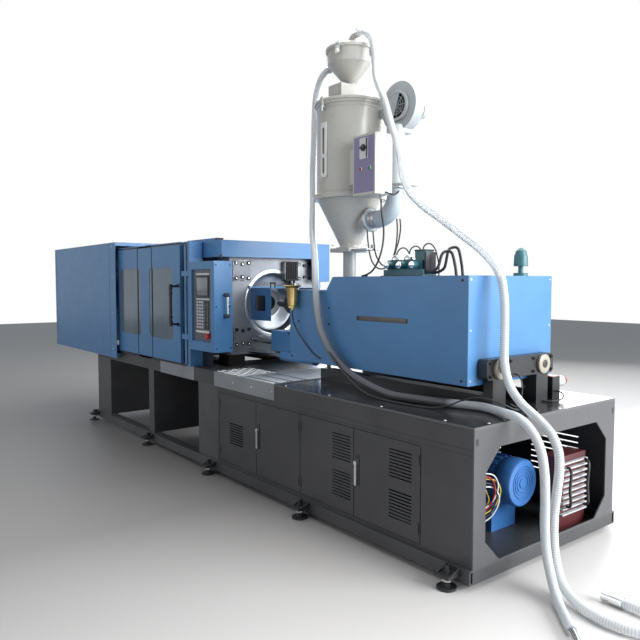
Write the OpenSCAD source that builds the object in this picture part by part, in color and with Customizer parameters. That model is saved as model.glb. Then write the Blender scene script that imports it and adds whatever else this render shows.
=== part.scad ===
// Horizontal injection moulding machine with a hopper dryer on its injection unit.
// The origin is on the floor, on the centre plane, under the mould face of the fixed platen.
// +X runs to the injection end, -Y faces the operator and +Z is up.

/* [Bed] */
// Length of the bed left of the mould face
bed_left = 2200; // [2150:10:2300]
// Length of the bed right of the mould face
bed_right = 2800; // [2760:10:2900]
// Width of the bed over its side sheets
bed_w = 1280; // [1270:2:1300]
// Height of the bed's top above the floor
bed_z = 776; // [766:2:786]
// Thickness of the bed plate
bed_t = 12; // [8:1:16]
// Height of the side beams
beam_h = 108; // [96:2:120]
// Width of the flanges of beams and rails
flange_w = 60; // [40:5:80]
// Thickness of the welded sheets
sheet_t = 8; // [6:1:10]
// Height of the bottom rails above the floor
rail_z = 30; // [24:2:40]
// Height of the bottom rails
rail_h = 70; // [60:2:76]
// How far the bottom rails stand out of the side sheets
rail_proud = 24; // [12:2:40]
// Width of the leg at the clamp end
leg_w = 370; // [300:10:400]
// Width of the open bay beside that leg
bay_w = 950; // [900:10:980]
// Width of the post between the two bays
post_w = 110; // [90:5:130]
// Width of the bay under the mould
drop_bay_w = 850; // [820:10:880]
// Width of the column under the fixed platen
column_w = 300; // [280:5:320]
// Half width of the drop opening in the bed plate
drop_hw = 270; // [240:5:280]

/* [Cabinet] */
// Width of the stile left of the doors
stile_w = 30; // [24:2:40]
// Width of the fixed panel right of the doors
end_panel_w = 335; // [300:5:360]
// Gap between two neighbouring door leaves
leaf_gap = 6; // [6:1:10]
// Depth of a door leaf
leaf_t = 20; // [20:1:26]
// Thickness of the sheet that doors and covers are folded from
fold_t = 3; // [2:0.5:4]
// Distance of a leaf's hinge pin from its edge and its front
hinge_in = 10; // [10:0.5:11]
// Diameter of the door hinge pins
hinge_d = 8; // [6:1:10]
// Width and height of one vent field in a leaf
vent_w = 165; // [120:5:200]
// Height of one vent slot
slot_h = 8; // [5:1:10]
// Distance between two vent slots
slot_pitch = 18; // [16:1:22]
// Width of the chamfers of the opening in the end plate
end_chamfer = 110; // [60:5:150]

/* [Feet] */
// Width of a levelling bracket
foot_w = 90; // [70:5:110]
// How far a levelling bracket stands out of the rail
foot_reach = 85; // [70:5:100]
// Diameter of the levelling bolts
foot_bolt_d = 20; // [16:1:24]
// Diameter of the floor pads
pad_d = 96; // [80:2:110]
// Thickness of the floor pads
pad_t = 12; // [8:1:16]

/* [Platens] */
// Height of the injection axis above the floor
axis_z = 1280; // [1270:2:1290]
// Width of the platens
platen_w = 840; // [820:5:860]
// Height of the platens
platen_h = 820; // [800:5:830]
// Thickness of the fixed platen
platen_t = 200; // [180:5:220]
// Corner radius of the platens
platen_r = 25; // [10:5:40]
// Distance between tie bar centres across the machine
tie_pitch_y = 616; // [600:2:630]
// Distance between tie bar centres in height
tie_pitch_z = 532; // [520:2:550]
// Diameter of the tie bars
tie_d = 86; // [80:1:90]
// Radius of the bore for the mould's locating ring
locating_r = 62.5; // [50:2.5:70]
// Diameter of the round recess behind the fixed platen
recess_d = 500; // [420:10:520]
// Depth of that recess
recess_depth = 70; // [50:5:90]
// Distance between the mould bolts, both ways
mould_bolt_pitch = 280; // [240:20:320]
// Diameter of the mould bolt holes
mould_bolt_d = 17.5; // [14:0.5:20]
// Depth of the mould bolt holes
mould_bolt_depth = 45; // [30:5:60]

/* [Clamp] */
// Distance between the platens with the mould open
daylight = 800; // [780:10:820]
// Travel of the moving platen
clamp_travel = 580; // [500:10:580]
// Thickness of the moving platen's front and back plates
moving_plate_t = 90; // [80:5:100]
// Length of the moving platen over both plates
moving_l = 380; // [370:10:400]
// Thickness of the rear platen
rear_t = 200; // [180:5:210]
// Distance of the rear platen's front face from the mould face
rear_dist = 1950; // [1930:10:1960]
// Diameter of the clamp ram
ram_d = 200; // [180:5:220]
// Outer diameter of the clamp cylinder
cyl_d = 400; // [380:5:420]
// Bore of the clamp cylinder
cyl_bore = 260; // [240:5:280]
// Length of the clamp cylinder behind the rear platen
cyl_l = 1150; // [1100:10:1180]
// Height of the hardened slide rails on the bed
slide_h = 30; // [20:2:40]
// Width of the slide rails
slide_w = 100; // [80:5:120]
// Half width of the ejector plate
ejector_hw = 190; // [180:2:195]
// Thickness of the ejector plate
ejector_t = 40; // [30:2:40]
// Travel of the ejector plate
ejector_travel = 130; // [100:5:140]
// Diameter of the ejector pins and guide rods
pin_d = 30; // [20:1:34]

/* [Guards] */
// Length of the shroud around the clamp
shroud_l = 1950; // [1900:10:2000]
// Distance of the shroud's right edge from the mould face
shroud_dist = 1500; // [1480:10:1520]
// Width of the shroud
shroud_w = 1400; // [1396:2:1420]
// Height of the shroud's lower edge above the floor
shroud_z0 = 710; // [690:5:730]
// Height of the shroud's top above the floor
shroud_z1 = 1840; // [1820:5:1860]
// Thickness of the shroud's sheet
shroud_t = 4; // [3:0.5:5]
// Height of the doors' and the hood's top above the floor
guard_z1 = 1780; // [1770:2:1790]
// Height of the doors' lower edge above the floor
guard_z0 = 790; // [788:1:796]
// Distance of the doors' right edge from the mould face
door_dist = 180; // [176:1:190]
// Depth of a sliding door
door_t = 28; // [20:1:28]
// Corner radius of the door windows
window_r = 40; // [20:5:60]
// Travel of the sliding doors
door_travel = 1100; // [900:20:1100]
// How far the hood's sides lie inside the doors' front
hood_inset = 127; // [122:1:132]
// How far the hood reaches past the fixed platen's mould face
hood_reach = 275; // [260:5:280]
// Height of the hood's skirt
hood_h = 130; // [110:5:140]

/* [Operator console] */
// Width of the console's front
console_w = 400; // [380:5:420]
// Depth of the console
console_d = 155; // [140:5:160]
// Height of the console
console_h = 680; // [640:10:700]
// Height of the console's lower edge above the floor
console_z = 930; // [920:5:950]
// Depth of the recess for the control panel
console_recess = 18; // [10:1:24]
// Diameter of the console's hinge pins
console_pin_d = 12; // [10:1:14]
// Diameter of the emergency stop's cap
stop_cap_d = 44; // [36:1:50]

/* [Injection unit] */
// Distance of the guide bars from the centre plane
bar_y = 195; // [190:1:200]
// Height of the guide bars above the floor
bar_z = 995; // [990:1:1000]
// Diameter of the guide bars
bar_d = 60; // [50:1:64]
// Travel of the carriage
carriage_travel = 250; // [200:10:250]
// Diameter of the barrel
barrel_d = 150; // [140:2:160]
// Bore of the barrel
barrel_bore = 55; // [45:1:60]
// Length of the nozzle
nozzle_l = 180; // [175:1:190]
// Distance of the nozzle tip from the mould face
nozzle_dist = 270; // [265:1:280]
// Travel of the screw for one shot
shot_travel = 180; // [140:5:180]
// Outer diameter of the injection cylinders
shot_cyl_d = 140; // [120:5:140]
// Distance of the injection cylinders from the centre plane
shot_cyl_y = 160; // [155:1:162]
// Diameter of the injection rods
shot_rod_d = 60; // [50:1:64]
// Distance of the cover's left edge from the mould face
cover_x0 = 960; // [955:1:980]
// Distance of the cover's right end from the mould face
cover_x1 = 2540; // [2500:5:2540]
// Width of the injection cover
cover_w = 750; // [740:2:770]
// Height of the cover's lower edge above the floor
cover_z0 = 910; // [900:2:914]
// Height of the cover's low front part
cover_low_z = 1400; // [1396:1:1410]
// Height of the cover's top
cover_z1 = 1487; // [1470:1:1500]

/* [Dryer] */
// Distance of the dryer's axis from the mould face
dryer_x = 1170; // [1165:1:1175]
// Diameter of the dryer's drum
drum_d = 470; // [460:2:480]
// Height of the drum above the floor at its lower flange
drum_z0 = 2045; // [2030:5:2060]
// Height of the drum above the floor at its rim
drum_z1 = 2680; // [2660:5:2700]
// Diameter of the cone's outlet
outlet_d = 144; // [130:2:150]
// Outer diameter of the neck tube
neck_d = 96; // [90:1:100]
// Height of the gate plates above the floor
gate_z = 1664; // [1655:1:1670]
// Travel of the feed gate
gate_travel = 110; // [80:5:120]
// Diameter of the air duct
duct_d = 116; // [100:2:120]
// Diameter of the receiver's body
receiver_d = 316; // [300:2:330]
// Height of the receiver's rim above the floor
receiver_z1 = 3065; // [3050:5:3080]
// Diameter of the blower's volute
volute_d = 315; // [300:5:320]
// Outer diameter of the two hoses
hose_d = 46; // [40:1:50]
// Diameter of the dryer's lead
lead_d = 12; // [10:1:14]
// Diameter of the lamp's lead
lamp_lead_d = 9; // [8:0.5:10]

/* [Hidden] */
$fn = 48;

// Overshoot of cuts, radial running clearance, gap between still faces, thread-like fits
cut = 1;
run = 0.08;
seat = 0.3;

graphite = "#3b3b3d";
sheet_grey = "#b9bcbf";
guard_blue = "#3f6fb0";
steel = "#b4b6b8";
cast_grey = "#8d8f90";
black_paint = "#1c1d1f";
cream = "#dcd8c6";
chrome = "#d9dcde";

// Bed
bed_hw = bed_w / 2;
rail_hw = bed_hw + rail_proud;
rail_top = rail_z + rail_h;
beam_z = bed_z - beam_h;
plate_z = bed_z - bed_t;
bed_x0 = -bed_left;
bed_x1 = bed_right;
leg_x1 = bed_x0 + leg_w;
post_x0 = leg_x1 + bay_w;
post_x1 = post_x0 + post_w;
column_x0 = post_x1 + drop_bay_w;
cab_x0 = column_x0 + column_w;
drop_x0 = post_x1 + 30;
drop_x1 = column_x0 - 140;

// Cabinet
leaf_x0 = cab_x0 + stile_w;
leaf_x1 = bed_x1 - end_panel_w;
leaf_pitch = (leaf_x1 - leaf_x0) / 4;
leaf_z0 = rail_top + 20;
leaf_z1 = beam_z - 43;
frame_gap = 3;
frame_d = leaf_t + 20;
mid_x = leaf_x0 + 2 * leaf_pitch;
lever_x = 28;
lever_z = leaf_z0 + 315;
lever_l = 120;
plate_t = 6;
foot_x = [bed_x0 + 50, post_x1 - 5, cab_x0 - 30, mid_x + 85, bed_x1 - 100];

// Platens
platen_hw = platen_w / 2;
platen_z0 = axis_z - platen_h / 2;
platen_z1 = axis_z + platen_h / 2;
tie_y = tie_pitch_y / 2;
tie_z = tie_pitch_z / 2;
moving_x1 = -daylight;
moving_x0 = moving_x1 - moving_l;
rear_x1 = -rear_dist;
rear_x0 = rear_x1 - rear_t;
cyl_x0 = rear_x0 - cyl_l;
cyl_end_t = 60;
shoe_y = 340;
slide_z = bed_z + slide_h;
rib_t = 35;
rib_y = ejector_hw + 10;
cavity_x0 = moving_x0 + moving_plate_t;
cavity_x1 = moving_x1 - moving_plate_t;
ejector_x0 = cavity_x0 + 10;
rod_y = ejector_hw - 18;
rod_z = 62;
ram_flange_d = 300;

// Guards
shroud_x1 = -shroud_dist;
shroud_x0 = shroud_x1 - shroud_l;
shroud_hw = shroud_w / 2;
door_y = shroud_hw - 38;
door_x1 = -door_dist;
door_x0 = shroud_x1 - 30;
hood_hw = door_y - hood_inset;
post_y0 = hood_hw + 10;
door_back_y = door_y - door_t;
track_y1 = door_back_y - 4;
seal_x0 = door_x1 + 10;
jamb_x0 = seal_x0 + 62;
jamb_x1 = jamb_x0 + 96;
handle_x = door_x1 - 25;
grip_z = guard_z0 + 320;
grip_l = 310;
track_top = guard_z1 - fold_t - seat;

// Console
console_x0 = jamb_x1 + 72;
console_x1 = console_x0 + console_w;
console_y0 = door_y + 40;
console_y1 = console_y0 - console_d;
console_z1 = console_z + console_h;
console_pin_x = console_x0 - 20;
console_pin_y = console_y0 - 12;
arm_z = [console_z + 70, console_z + console_h - 110];
arm_h = 40;

// Injection unit
nozzle_x1 = nozzle_dist + nozzle_l;
housing_x0 = dryer_x - 90;
housing_x1 = dryer_x + 130;
housing_hw = 235;
housing_top = cover_low_z - fold_t - 12;
shot_x1 = housing_x1 + 500;
head_x0 = shot_x1 + shot_travel + 20;
head_x1 = head_x0 + 100;
pull_y = 250;
pull_z = 900;
beam_x0 = cover_x1 + 6;
beam_x1 = beam_x0 + 60;
side_y0 = housing_hw;
side_y1 = housing_hw + 25;
front_block_x0 = nozzle_dist + 280;
front_block_x1 = front_block_x0 + 220;
rear_block_x1 = cover_x1 - 190;
guard_x0 = platen_t + 5;
guard_x1 = nozzle_dist + 230;
guard_hw = 230;
guard_bottom = axis_z - 130;
guard_top = axis_z + 128;

// Dryer
neck_z0 = housing_top;
cone_z0 = gate_z + 28;
inlet_z = cone_z0 + 188;
duct_y = 30;
duct_r = 425;
duct_turn = atan(duct_y / duct_r);
bend_r = 150;
duct_z1 = inlet_z + bend_r + 50;
blower_x = dryer_x + duct_r + 10;
blower_y0 = duct_y + 10;
blower_y1 = blower_y0 + 80;
blower_z = 2605;
lid_z1 = drum_z1 + 47;
stand_z1 = lid_z1 + 87;
control_x0 = dryer_x + 265;
control_x1 = control_x0 + 215;
control_y0 = -205;
control_y1 = -55;
control_z0 = 2015;
control_z1 = 2400;
knob_z = control_z1 - 88;
knob_x = control_x0 + 114;
button_z = control_z1 - 220;
stop_x = control_x0 + 78;
start_x = control_x0 + 163;
button_d = 22;
lamp_x = cover_x0 + 90;
lamp_y = -cover_w / 2 - 44;
lamp_z0 = cover_low_z - 125;

// Simple solids given by their corners or by their ends
module block(low, high) translate(low) cube(high - low);
module bar_along_x(x0, x1, y, z, d) translate([x0, y, z]) rotate([0, 90, 0]) cylinder(d = d, h = x1 - x0);
module bar_along_y(y0, y1, x, z, d) translate([x, y0, z]) rotate([-90, 0, 0]) cylinder(d = d, h = y1 - y0);
module bar_along_z(z0, z1, x, y, d) translate([x, y, z0]) cylinder(d = d, h = z1 - z0);
module along_x(x0, x1) translate([x0, 0, 0]) rotate([90, 0, 90]) linear_extrude(x1 - x0) children();
module along_y(y0, y1) translate([0, y1, 0]) rotate([90, 0, 0]) linear_extrude(y1 - y0) children();
module span(low, high) translate(low) square(high - low);
module both_sides() {
  children();
  mirror([0, 1, 0]) children();
}

// Rectangle with round corners
module round_span(low, high, r) {
  span([low.x + r, low.y], [high.x - r, high.y]);
  span([low.x, low.y + r], [high.x, high.y - r]);
  for (x = [low.x + r, high.x - r], y = [low.y + r, high.y - r]) translate([x, y]) circle(r);
}

// Side beam and bottom rail are folded channels that open to the inside
module side_beam_profile() {
  span([bed_hw - sheet_t, beam_z], [bed_hw, plate_z]);
  span([bed_hw - flange_w, beam_z], [bed_hw, beam_z + sheet_t]);
}
module bottom_rail_profile() {
  span([rail_hw - sheet_t, rail_z], [rail_hw, rail_top]);
  span([bed_hw - flange_w, rail_top - sheet_t], [rail_hw, rail_top]);
  span([bed_hw - flange_w, rail_z], [rail_hw, rail_z + sheet_t]);
}

module hollow_leg(x0, x1) difference() {
  block([x0, -bed_hw, rail_top + seat], [x1, bed_hw, beam_z - seat]);
  block([x0 + sheet_t, -bed_hw + sheet_t, rail_top], [x1 - sheet_t, bed_hw - sheet_t, beam_z]);
}

// Bed plate with its side beams, the drop opening and the slide rails
module base_frame() color(graphite) {
  difference() {
    block([bed_x0, -bed_hw, plate_z], [cab_x0, bed_hw, bed_z]);
    block([drop_x0, -drop_hw, plate_z - cut], [drop_x1, drop_hw, bed_z + cut]);
  }
  both_sides() {
    along_x(bed_x0, cab_x0) side_beam_profile();
    block([rear_x1, shoe_y - slide_w / 2, bed_z - cut], [-20, shoe_y + slide_w / 2, slide_z]);
  }
}

// Bottom rails, the three box legs that stand on them, and the back sheet of the drop bay
module bed_legs() color(graphite) {
  both_sides() along_x(bed_x0, cab_x0) bottom_rail_profile();
  hollow_leg(bed_x0, leg_x1);
  hollow_leg(post_x0, post_x1);
  hollow_leg(column_x0, cab_x0);
  block([post_x1 + seat, bed_hw - sheet_t, rail_top + seat], [column_x0 - seat, bed_hw, beam_z - seat]);
}

function leaf_left(i) = leaf_x0 + i * leaf_pitch + leaf_gap / 2;
function leaf_right(i) = leaf_x0 + (i + 1) * leaf_pitch - leaf_gap / 2;
function leaf_hinge(i) = i % 2 == 0 ? leaf_left(i) + hinge_in : leaf_right(i) - hinge_in;

// Opening in the end plate with four chamfered corners
module end_opening_profile() {
  y = bed_hw - 90;
  c = end_chamfer;
  low = rail_top + 5;
  top = beam_z - 6;
  polygon([[-y, low + c], [-y + c, low], [y - c, low], [y, low + c],
    [y, top - c], [y - c, top], [-y + c, top], [-y, top - c]]);
}

module rear_louvres() {
  for (x = [cab_x0 + 350, mid_x + 250, bed_x1 - 550], k = [0:7])
    block([x, bed_hw - sheet_t - cut, rail_top + 150 + k * 2 * slot_pitch],
      [x + 2 * vent_w, bed_hw + cut, rail_top + 150 + k * 2 * slot_pitch + slot_h]);
}

// Cabinet half of the bed: folded walls, door frame, floor, deck sheet and the open end plate
module cabinet_frame() color(graphite) {
  front = -bed_hw;
  back = -bed_hw + frame_d;
  both_sides() {
    along_x(cab_x0, bed_x1) side_beam_profile();
    along_x(cab_x0, bed_x1) bottom_rail_profile();
  }
  difference() {
    block([cab_x0, -bed_hw, plate_z - cut / 2], [bed_x1, bed_hw, bed_z]);
    block([housing_x1 + 40, -110, plate_z - cut], [cover_x1 - 400, 110, bed_z + cut]);
  }
  block([cab_x0, -bed_hw, rail_z], [bed_x1, bed_hw, rail_z + sheet_t]);
  difference() {
    block([cab_x0, bed_hw - sheet_t, rail_top - sheet_t], [bed_x1, bed_hw, beam_z + cut]);
    rear_louvres();
  }
  difference() {
    block([bed_x1 - sheet_t, -bed_hw, rail_z], [bed_x1, bed_hw, plate_z]);
    along_x(bed_x1 - sheet_t - cut, bed_x1 + cut) end_opening_profile();
  }
  block([mid_x - 3, -bed_hw + frame_d - cut, rail_z], [mid_x + 3, bed_hw - sheet_t / 2, beam_z]);
  block([mid_x - 25, front + leaf_t + 6, rail_top - cut], [mid_x + 25, back, beam_z + cut]);
  block([cab_x0, front, rail_top - cut], [leaf_x0 - frame_gap, back, beam_z + cut]);
  block([leaf_x1 + frame_gap, front, rail_top - cut], [bed_x1, front + sheet_t, beam_z + cut]);
  difference() {
    union() {
      block([cab_x0, front, leaf_z1 + frame_gap], [bed_x1 - cut, back, beam_z + cut]);
      block([cab_x0, front, rail_top - cut], [bed_x1 - cut, back, leaf_z0 - frame_gap]);
    }
    for (i = [0:3]) bar_along_z(leaf_z0 - 15, leaf_z1 + 20, leaf_hinge(i), front + hinge_in, hinge_d + 2 * run);
  }
}

// One folded leaf with its two hinge pins
module door_leaf(i) {
  difference() {
    block([leaf_left(i), -bed_hw, leaf_z0], [leaf_right(i), -bed_hw + leaf_t, leaf_z1]);
    block([leaf_left(i) + fold_t, -bed_hw + fold_t, leaf_z0 + fold_t],
      [leaf_right(i) - fold_t, -bed_hw + leaf_t + cut, leaf_z1 - fold_t]);
  }
  for (z = [leaf_z0 - 12, leaf_z1 - 18]) bar_along_z(z, z + 30, leaf_hinge(i), -bed_hw + hinge_in, hinge_d);
}

// Field of vent slots whose lower left corner is at x, z
module vent_field(x, z, w, n) {
  for (k = [0:n - 1])
    block([x, -bed_hw - cut, z + k * slot_pitch], [x + w, -bed_hw + fold_t + cut, z + k * slot_pitch + slot_h]);
}

// Latch plate on a leaf, with the bore for its lever
module latch_plate(i) {
  x = leaf_left(i) + lever_x;
  difference() {
    union() {
      along_y(-bed_hw - plate_t, -bed_hw + cut)
        round_span([x - 18, lever_z - 130], [x + 18, lever_z + 24], 10);
      bar_along_y(-bed_hw, -bed_hw + 12, x, lever_z, 26);
    }
    bar_along_y(-bed_hw - plate_t - cut, -bed_hw + 9, x, lever_z, 12 + 2 * run);
  }
}

module cabinet_door_1() color(graphite) difference() {
  door_leaf(0);
  vent_field(leaf_left(0) + 150, leaf_z0 + 150, 190, 9);
}
module cabinet_door_2() color(graphite) difference() {
  union() {
    door_leaf(1);
    latch_plate(1);
  }
  bar_along_y(-bed_hw - plate_t - cut, -bed_hw + 9, leaf_left(1) + lever_x, lever_z, 12 + 2 * run);
}
module cabinet_door_3() color(graphite) difference() {
  door_leaf(2);
  for (z = [leaf_z0 + 80, leaf_z0 + 300]) vent_field(leaf_right(2) - 190, z, vent_w, 9);
}
module cabinet_door_4() color(graphite) difference() {
  union() {
    door_leaf(3);
    latch_plate(3);
  }
  for (z = [leaf_z0 + 80, leaf_z0 + 300]) vent_field(leaf_right(3) - 225, z, vent_w, 9);
  bar_along_y(-bed_hw - plate_t - cut, -bed_hw + 9, leaf_left(3) + lever_x, lever_z, 12 + 2 * run);
}

// Chrome swing lever that turns on a short shaft in its plate
module latch_lever(i) {
  x = leaf_left(i) + lever_x;
  face = -bed_hw - plate_t - seat;
  bar_along_y(face - 14, face, x, lever_z, 26);
  bar_along_y(face - cut, -bed_hw + 8, x, lever_z, 12);
  along_y(face - 13, face - 3) {
    span([x - 8, lever_z - lever_l], [x + 8, lever_z]);
    translate([x, lever_z - lever_l]) circle(d = 16);
  }
}
module latch_lever_1() color(chrome) latch_lever(1);
module latch_lever_2() color(chrome) latch_lever(3);

// Loose purge tray on the deck with its apron, and the apron in front of the drop opening
module purge_tray() color(sheet_grey) {
  t = fold_t;
  tray_x0 = cab_x0 - 40;
  tray_x1 = tray_x0 + 810;
  tray_y1 = -bed_hw + 320;
  block([tray_x0, -bed_hw - t, bed_z], [tray_x1, tray_y1, bed_z + t]);
  block([tray_x0, -bed_hw - t, beam_z], [tray_x1, -bed_hw, bed_z + t]);
  for (k = [0:6])
    block([tray_x0 + 420, -bed_hw + 30 + k * 40, bed_z + t - cut],
  [tray_x1 - 10, -bed_hw + 42 + k * 40, bed_z + t + 5]);
  block([post_x1 + 150, -bed_hw - t, beam_z], [column_x0 - 70, -bed_hw, bed_z]);
}

// Levelling bracket: lug, two gussets, bolt with nut and floor pad
module levelling_foot(x) translate([x, 0, 0]) {
  lug_z = 60;
  lug_t = 14;
  bolt_y = rail_hw + foot_reach / 2;
  block([-foot_w / 2, rail_hw, lug_z], [foot_w / 2, rail_hw + foot_reach, lug_z + lug_t]);
  for (gx = [-foot_w / 2, foot_w / 2 - 10])
    along_x(gx, gx + 10)
      polygon([[rail_hw, lug_z + lug_t / 2], [rail_hw + foot_reach, lug_z + lug_t / 2], [rail_hw, rail_top]]);
  bar_along_z(0, pad_t, 0, bolt_y, pad_d);
  bar_along_z(pad_t - cut, rail_top + 10, 0, bolt_y, foot_bolt_d);
  translate([0, bolt_y, pad_t]) cylinder(d = 2 * foot_bolt_d, h = 16, $fn = 6);
  translate([0, bolt_y, lug_z + lug_t]) cylinder(d = 1.8 * foot_bolt_d, h = 14, $fn = 6);
}
module levelling_feet() color(black_paint) for (x = foot_x) both_sides() levelling_foot(x);

module tie_points() for (sy = [-1, 1], sz = [-1, 1]) translate([0, sy * tie_y, axis_z + sz * tie_z]) children();

// Cast plate with round corners and four tie bar bores
module platen_plate(x0, x1, bore) difference() {
  along_x(x0, x1) round_span([-platen_hw, platen_z0], [platen_hw, platen_z1], platen_r);
  tie_points() bar_along_x(x0 - cut, x1 + cut, 0, 0, bore);
}
module platen_feet(x0, x1) both_sides()
  block([x0, shoe_y - slide_w / 2 - 20, bed_z], [x1, platen_hw, platen_z0 + platen_r]);
module mould_bolt_holes(x0, x1) {
  for (y = [-1, 1], z = [-1, 1])
    bar_along_x(x0, x1, y * mould_bolt_pitch / 2, axis_z + z * mould_bolt_pitch / 2, mould_bolt_d);
}

module fixed_platen() color(steel) difference() {
  union() {
    platen_plate(0, platen_t, tie_d + 2 * seat);
    platen_feet(20, platen_t - 20);
    both_sides() block([platen_t - cut, guard_hw + 3, guard_top - 12],
  [guard_x0 + 17, guard_hw + 17, guard_top + 16]);
  }
  bar_along_y(-guard_hw - 20, guard_hw + 20, platen_t + 12, guard_top + 4, 12 + 2 * run);
  bar_along_x(-cut, platen_t, 0, axis_z, 2 * locating_r);
  bar_along_x(platen_t - recess_depth, platen_t + cut, 0, axis_z, recess_d);
  mould_bolt_holes(-cut, mould_bolt_depth);
}

module rear_platen() color(steel) difference() {
  union() {
    platen_plate(rear_x0, rear_x1, tie_d + 2 * seat);
    platen_feet(rear_x0 + 20, rear_x1 - 20);
  }
  bar_along_x(rear_x0 - cut, rear_x1 + cut, 0, axis_z, cyl_d - 20 + 2 * seat);
}

// Tie bars with their rear nuts and the six-bolt clamp plates on the fixed platen
module tie_bars() color(chrome) {
  carriage_bars();
  clamp_hw = tie_y - bar_y - bar_d / 2 - 2;
  tie_points() bar_along_x(rear_x0 - 130, platen_t - seat, 0, 0, tie_d);
  tie_points() difference() {
    translate([rear_x0 - 90, 0, 0]) rotate([0, 90, 0]) cylinder(d = 1.9 * tie_d, h = 90, $fn = 6);
    bar_along_x(rear_x0 - 90 - cut, rear_x0 + cut, 0, 0, tie_d + 2 * seat);
  }
  tie_points() {
    along_x(platen_t, platen_t + 8) round_span([-clamp_hw, -clamp_hw], [clamp_hw, clamp_hw], 20);
    for (y = [-58, 0, 58], z = [-60, 60])
      bar_along_x(platen_t + 8 - cut, platen_t + 18, y, z + (y == 0 ? -10 * sign(z) : 0), 24);
  }
}

// Clamp cylinder: tube behind the rear platen, flange, spigot through the platen and gland
module clamp_cylinder() color(guard_blue) difference() {
  union() {
    bar_along_x(cyl_x0, rear_x0 - 40 + cut, 0, axis_z, cyl_d);
    bar_along_x(rear_x0 - 40, rear_x0, 0, axis_z, cyl_d + 90);
    bar_along_x(rear_x0 - cut, rear_x1, 0, axis_z, cyl_d - 20);
    bar_along_x(cyl_x0 - 20, cyl_x0 + cut, 0, axis_z, cyl_d - 60);
    bar_along_z(axis_z + cyl_d / 2 - 10, axis_z + cyl_d / 2 + 60, cyl_x0 + 150, 0, 70);
  }
  bar_along_x(cyl_x0 + cyl_end_t, rear_x1 - 60, 0, axis_z, cyl_bore);
  bar_along_x(rear_x1 - 60 - cut, rear_x1 + cut, 0, axis_z, ram_d + 2 * run);
}

// Ram with piston and the flange that carries the moving platen
module clamp_ram() color(chrome) {
  piston_x0 = cyl_x0 + cyl_end_t + 40;
  bar_along_x(piston_x0, piston_x0 + 90, 0, axis_z, cyl_bore - 2 * seat);
  bar_along_x(piston_x0 + cut, moving_x0 - 40 + cut, 0, axis_z, ram_d);
  bar_along_x(moving_x0 - 40, moving_x0, 0, axis_z, ram_flange_d);
  for (a = [0:45:315]) translate([0, 0, axis_z]) rotate([a, 0, 0])
    bar_along_x(moving_x0 - 55, moving_x0 - 40 + cut, 0, ram_flange_d / 2 - 24, 26);
}

// Moving platen: two plates, tie bar bosses and the ribbed box that the ejector plate runs in
module moving_platen() color(steel) difference() {
  union() {
    platen_plate(moving_x0, cavity_x0, tie_d + 2 * run);
    platen_plate(cavity_x1, moving_x1, tie_d + 2 * run);
    tie_points() bar_along_x(moving_x0, moving_x1, 0, 0, tie_d + 70);
    both_sides() block([cavity_x0 - cut, rib_y, platen_z0 + 10],
  [cavity_x1 + cut, rib_y + rib_t, platen_z1 - 10]);
    for (z = [axis_z - rib_y - rib_t, axis_z + rib_y])
      block([cavity_x0 - cut, -rib_y - cut, z], [cavity_x1 + cut, rib_y + cut, z + rib_t]);
    both_sides() block([moving_x0 + 10, shoe_y - slide_w / 2, slide_z + seat],
      [moving_x1 - 10, shoe_y + slide_w / 2, platen_z0 + platen_r]);
  }
  tie_points() bar_along_x(moving_x0 - cut, moving_x1 + cut, 0, 0, tie_d + 2 * run);
  mould_bolt_holes(moving_x1 - mould_bolt_depth, moving_x1 + cut);
  ejector_points() bar_along_x(cavity_x1 - 2 * cut, moving_x1 + cut, 0, 0, pin_d + 2 * run);
  guide_points() bar_along_x(moving_x0 - cut, cavity_x0 + 2 * cut, 0, 0, pin_d + 2 * run);
}
module ejector_points() {
  translate([0, 0, axis_z]) children();
  for (y = [-1, 1], z = [-1, 1]) translate([0, y * 70, axis_z + z * 70]) children();
}
module guide_points() for (y = [-1, 1], z = [-1, 1]) translate([0, y * rod_y, axis_z + z * rod_z]) children();

// Ejector plate with pins through the front plate and guide rods through the back plate
module ejector_plate() color(cast_grey) {
  along_x(ejector_x0, ejector_x0 + ejector_t)
    round_span([-ejector_hw, axis_z - ejector_hw], [ejector_hw, axis_z + ejector_hw], 20);
  ejector_points() bar_along_x(ejector_x0 + cut, moving_x1 - 2, 0, 0, pin_d);
  guide_points() bar_along_x(moving_x0 - ejector_travel + 70, ejector_x0 + cut, 0, 0, pin_d);
}

// Sheet shroud around the clamp, open below and toward the mould, on four brackets
module rear_cover() color(guard_blue) {
  difference() {
    block([shroud_x0, -shroud_hw, shroud_z0], [shroud_x1, shroud_hw, shroud_z1]);
    block([shroud_x0 + shroud_t, -shroud_hw + shroud_t, shroud_z0 - cut],
      [shroud_x1 + cut, shroud_hw - shroud_t, shroud_z1 - shroud_t]);
  }
  both_sides() for (x = [bed_x0 + 20, shroud_x1 - 100])
    block([x, bed_hw, beam_z + 60], [x + 60, shroud_hw - shroud_t + cut, bed_z - 20]);
  block([shroud_x1 - 40, -shroud_hw + shroud_t - cut, shroud_z1 - 34],
  [shroud_x1, shroud_hw - shroud_t + cut, shroud_z1 - shroud_t + cut]);
}

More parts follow.
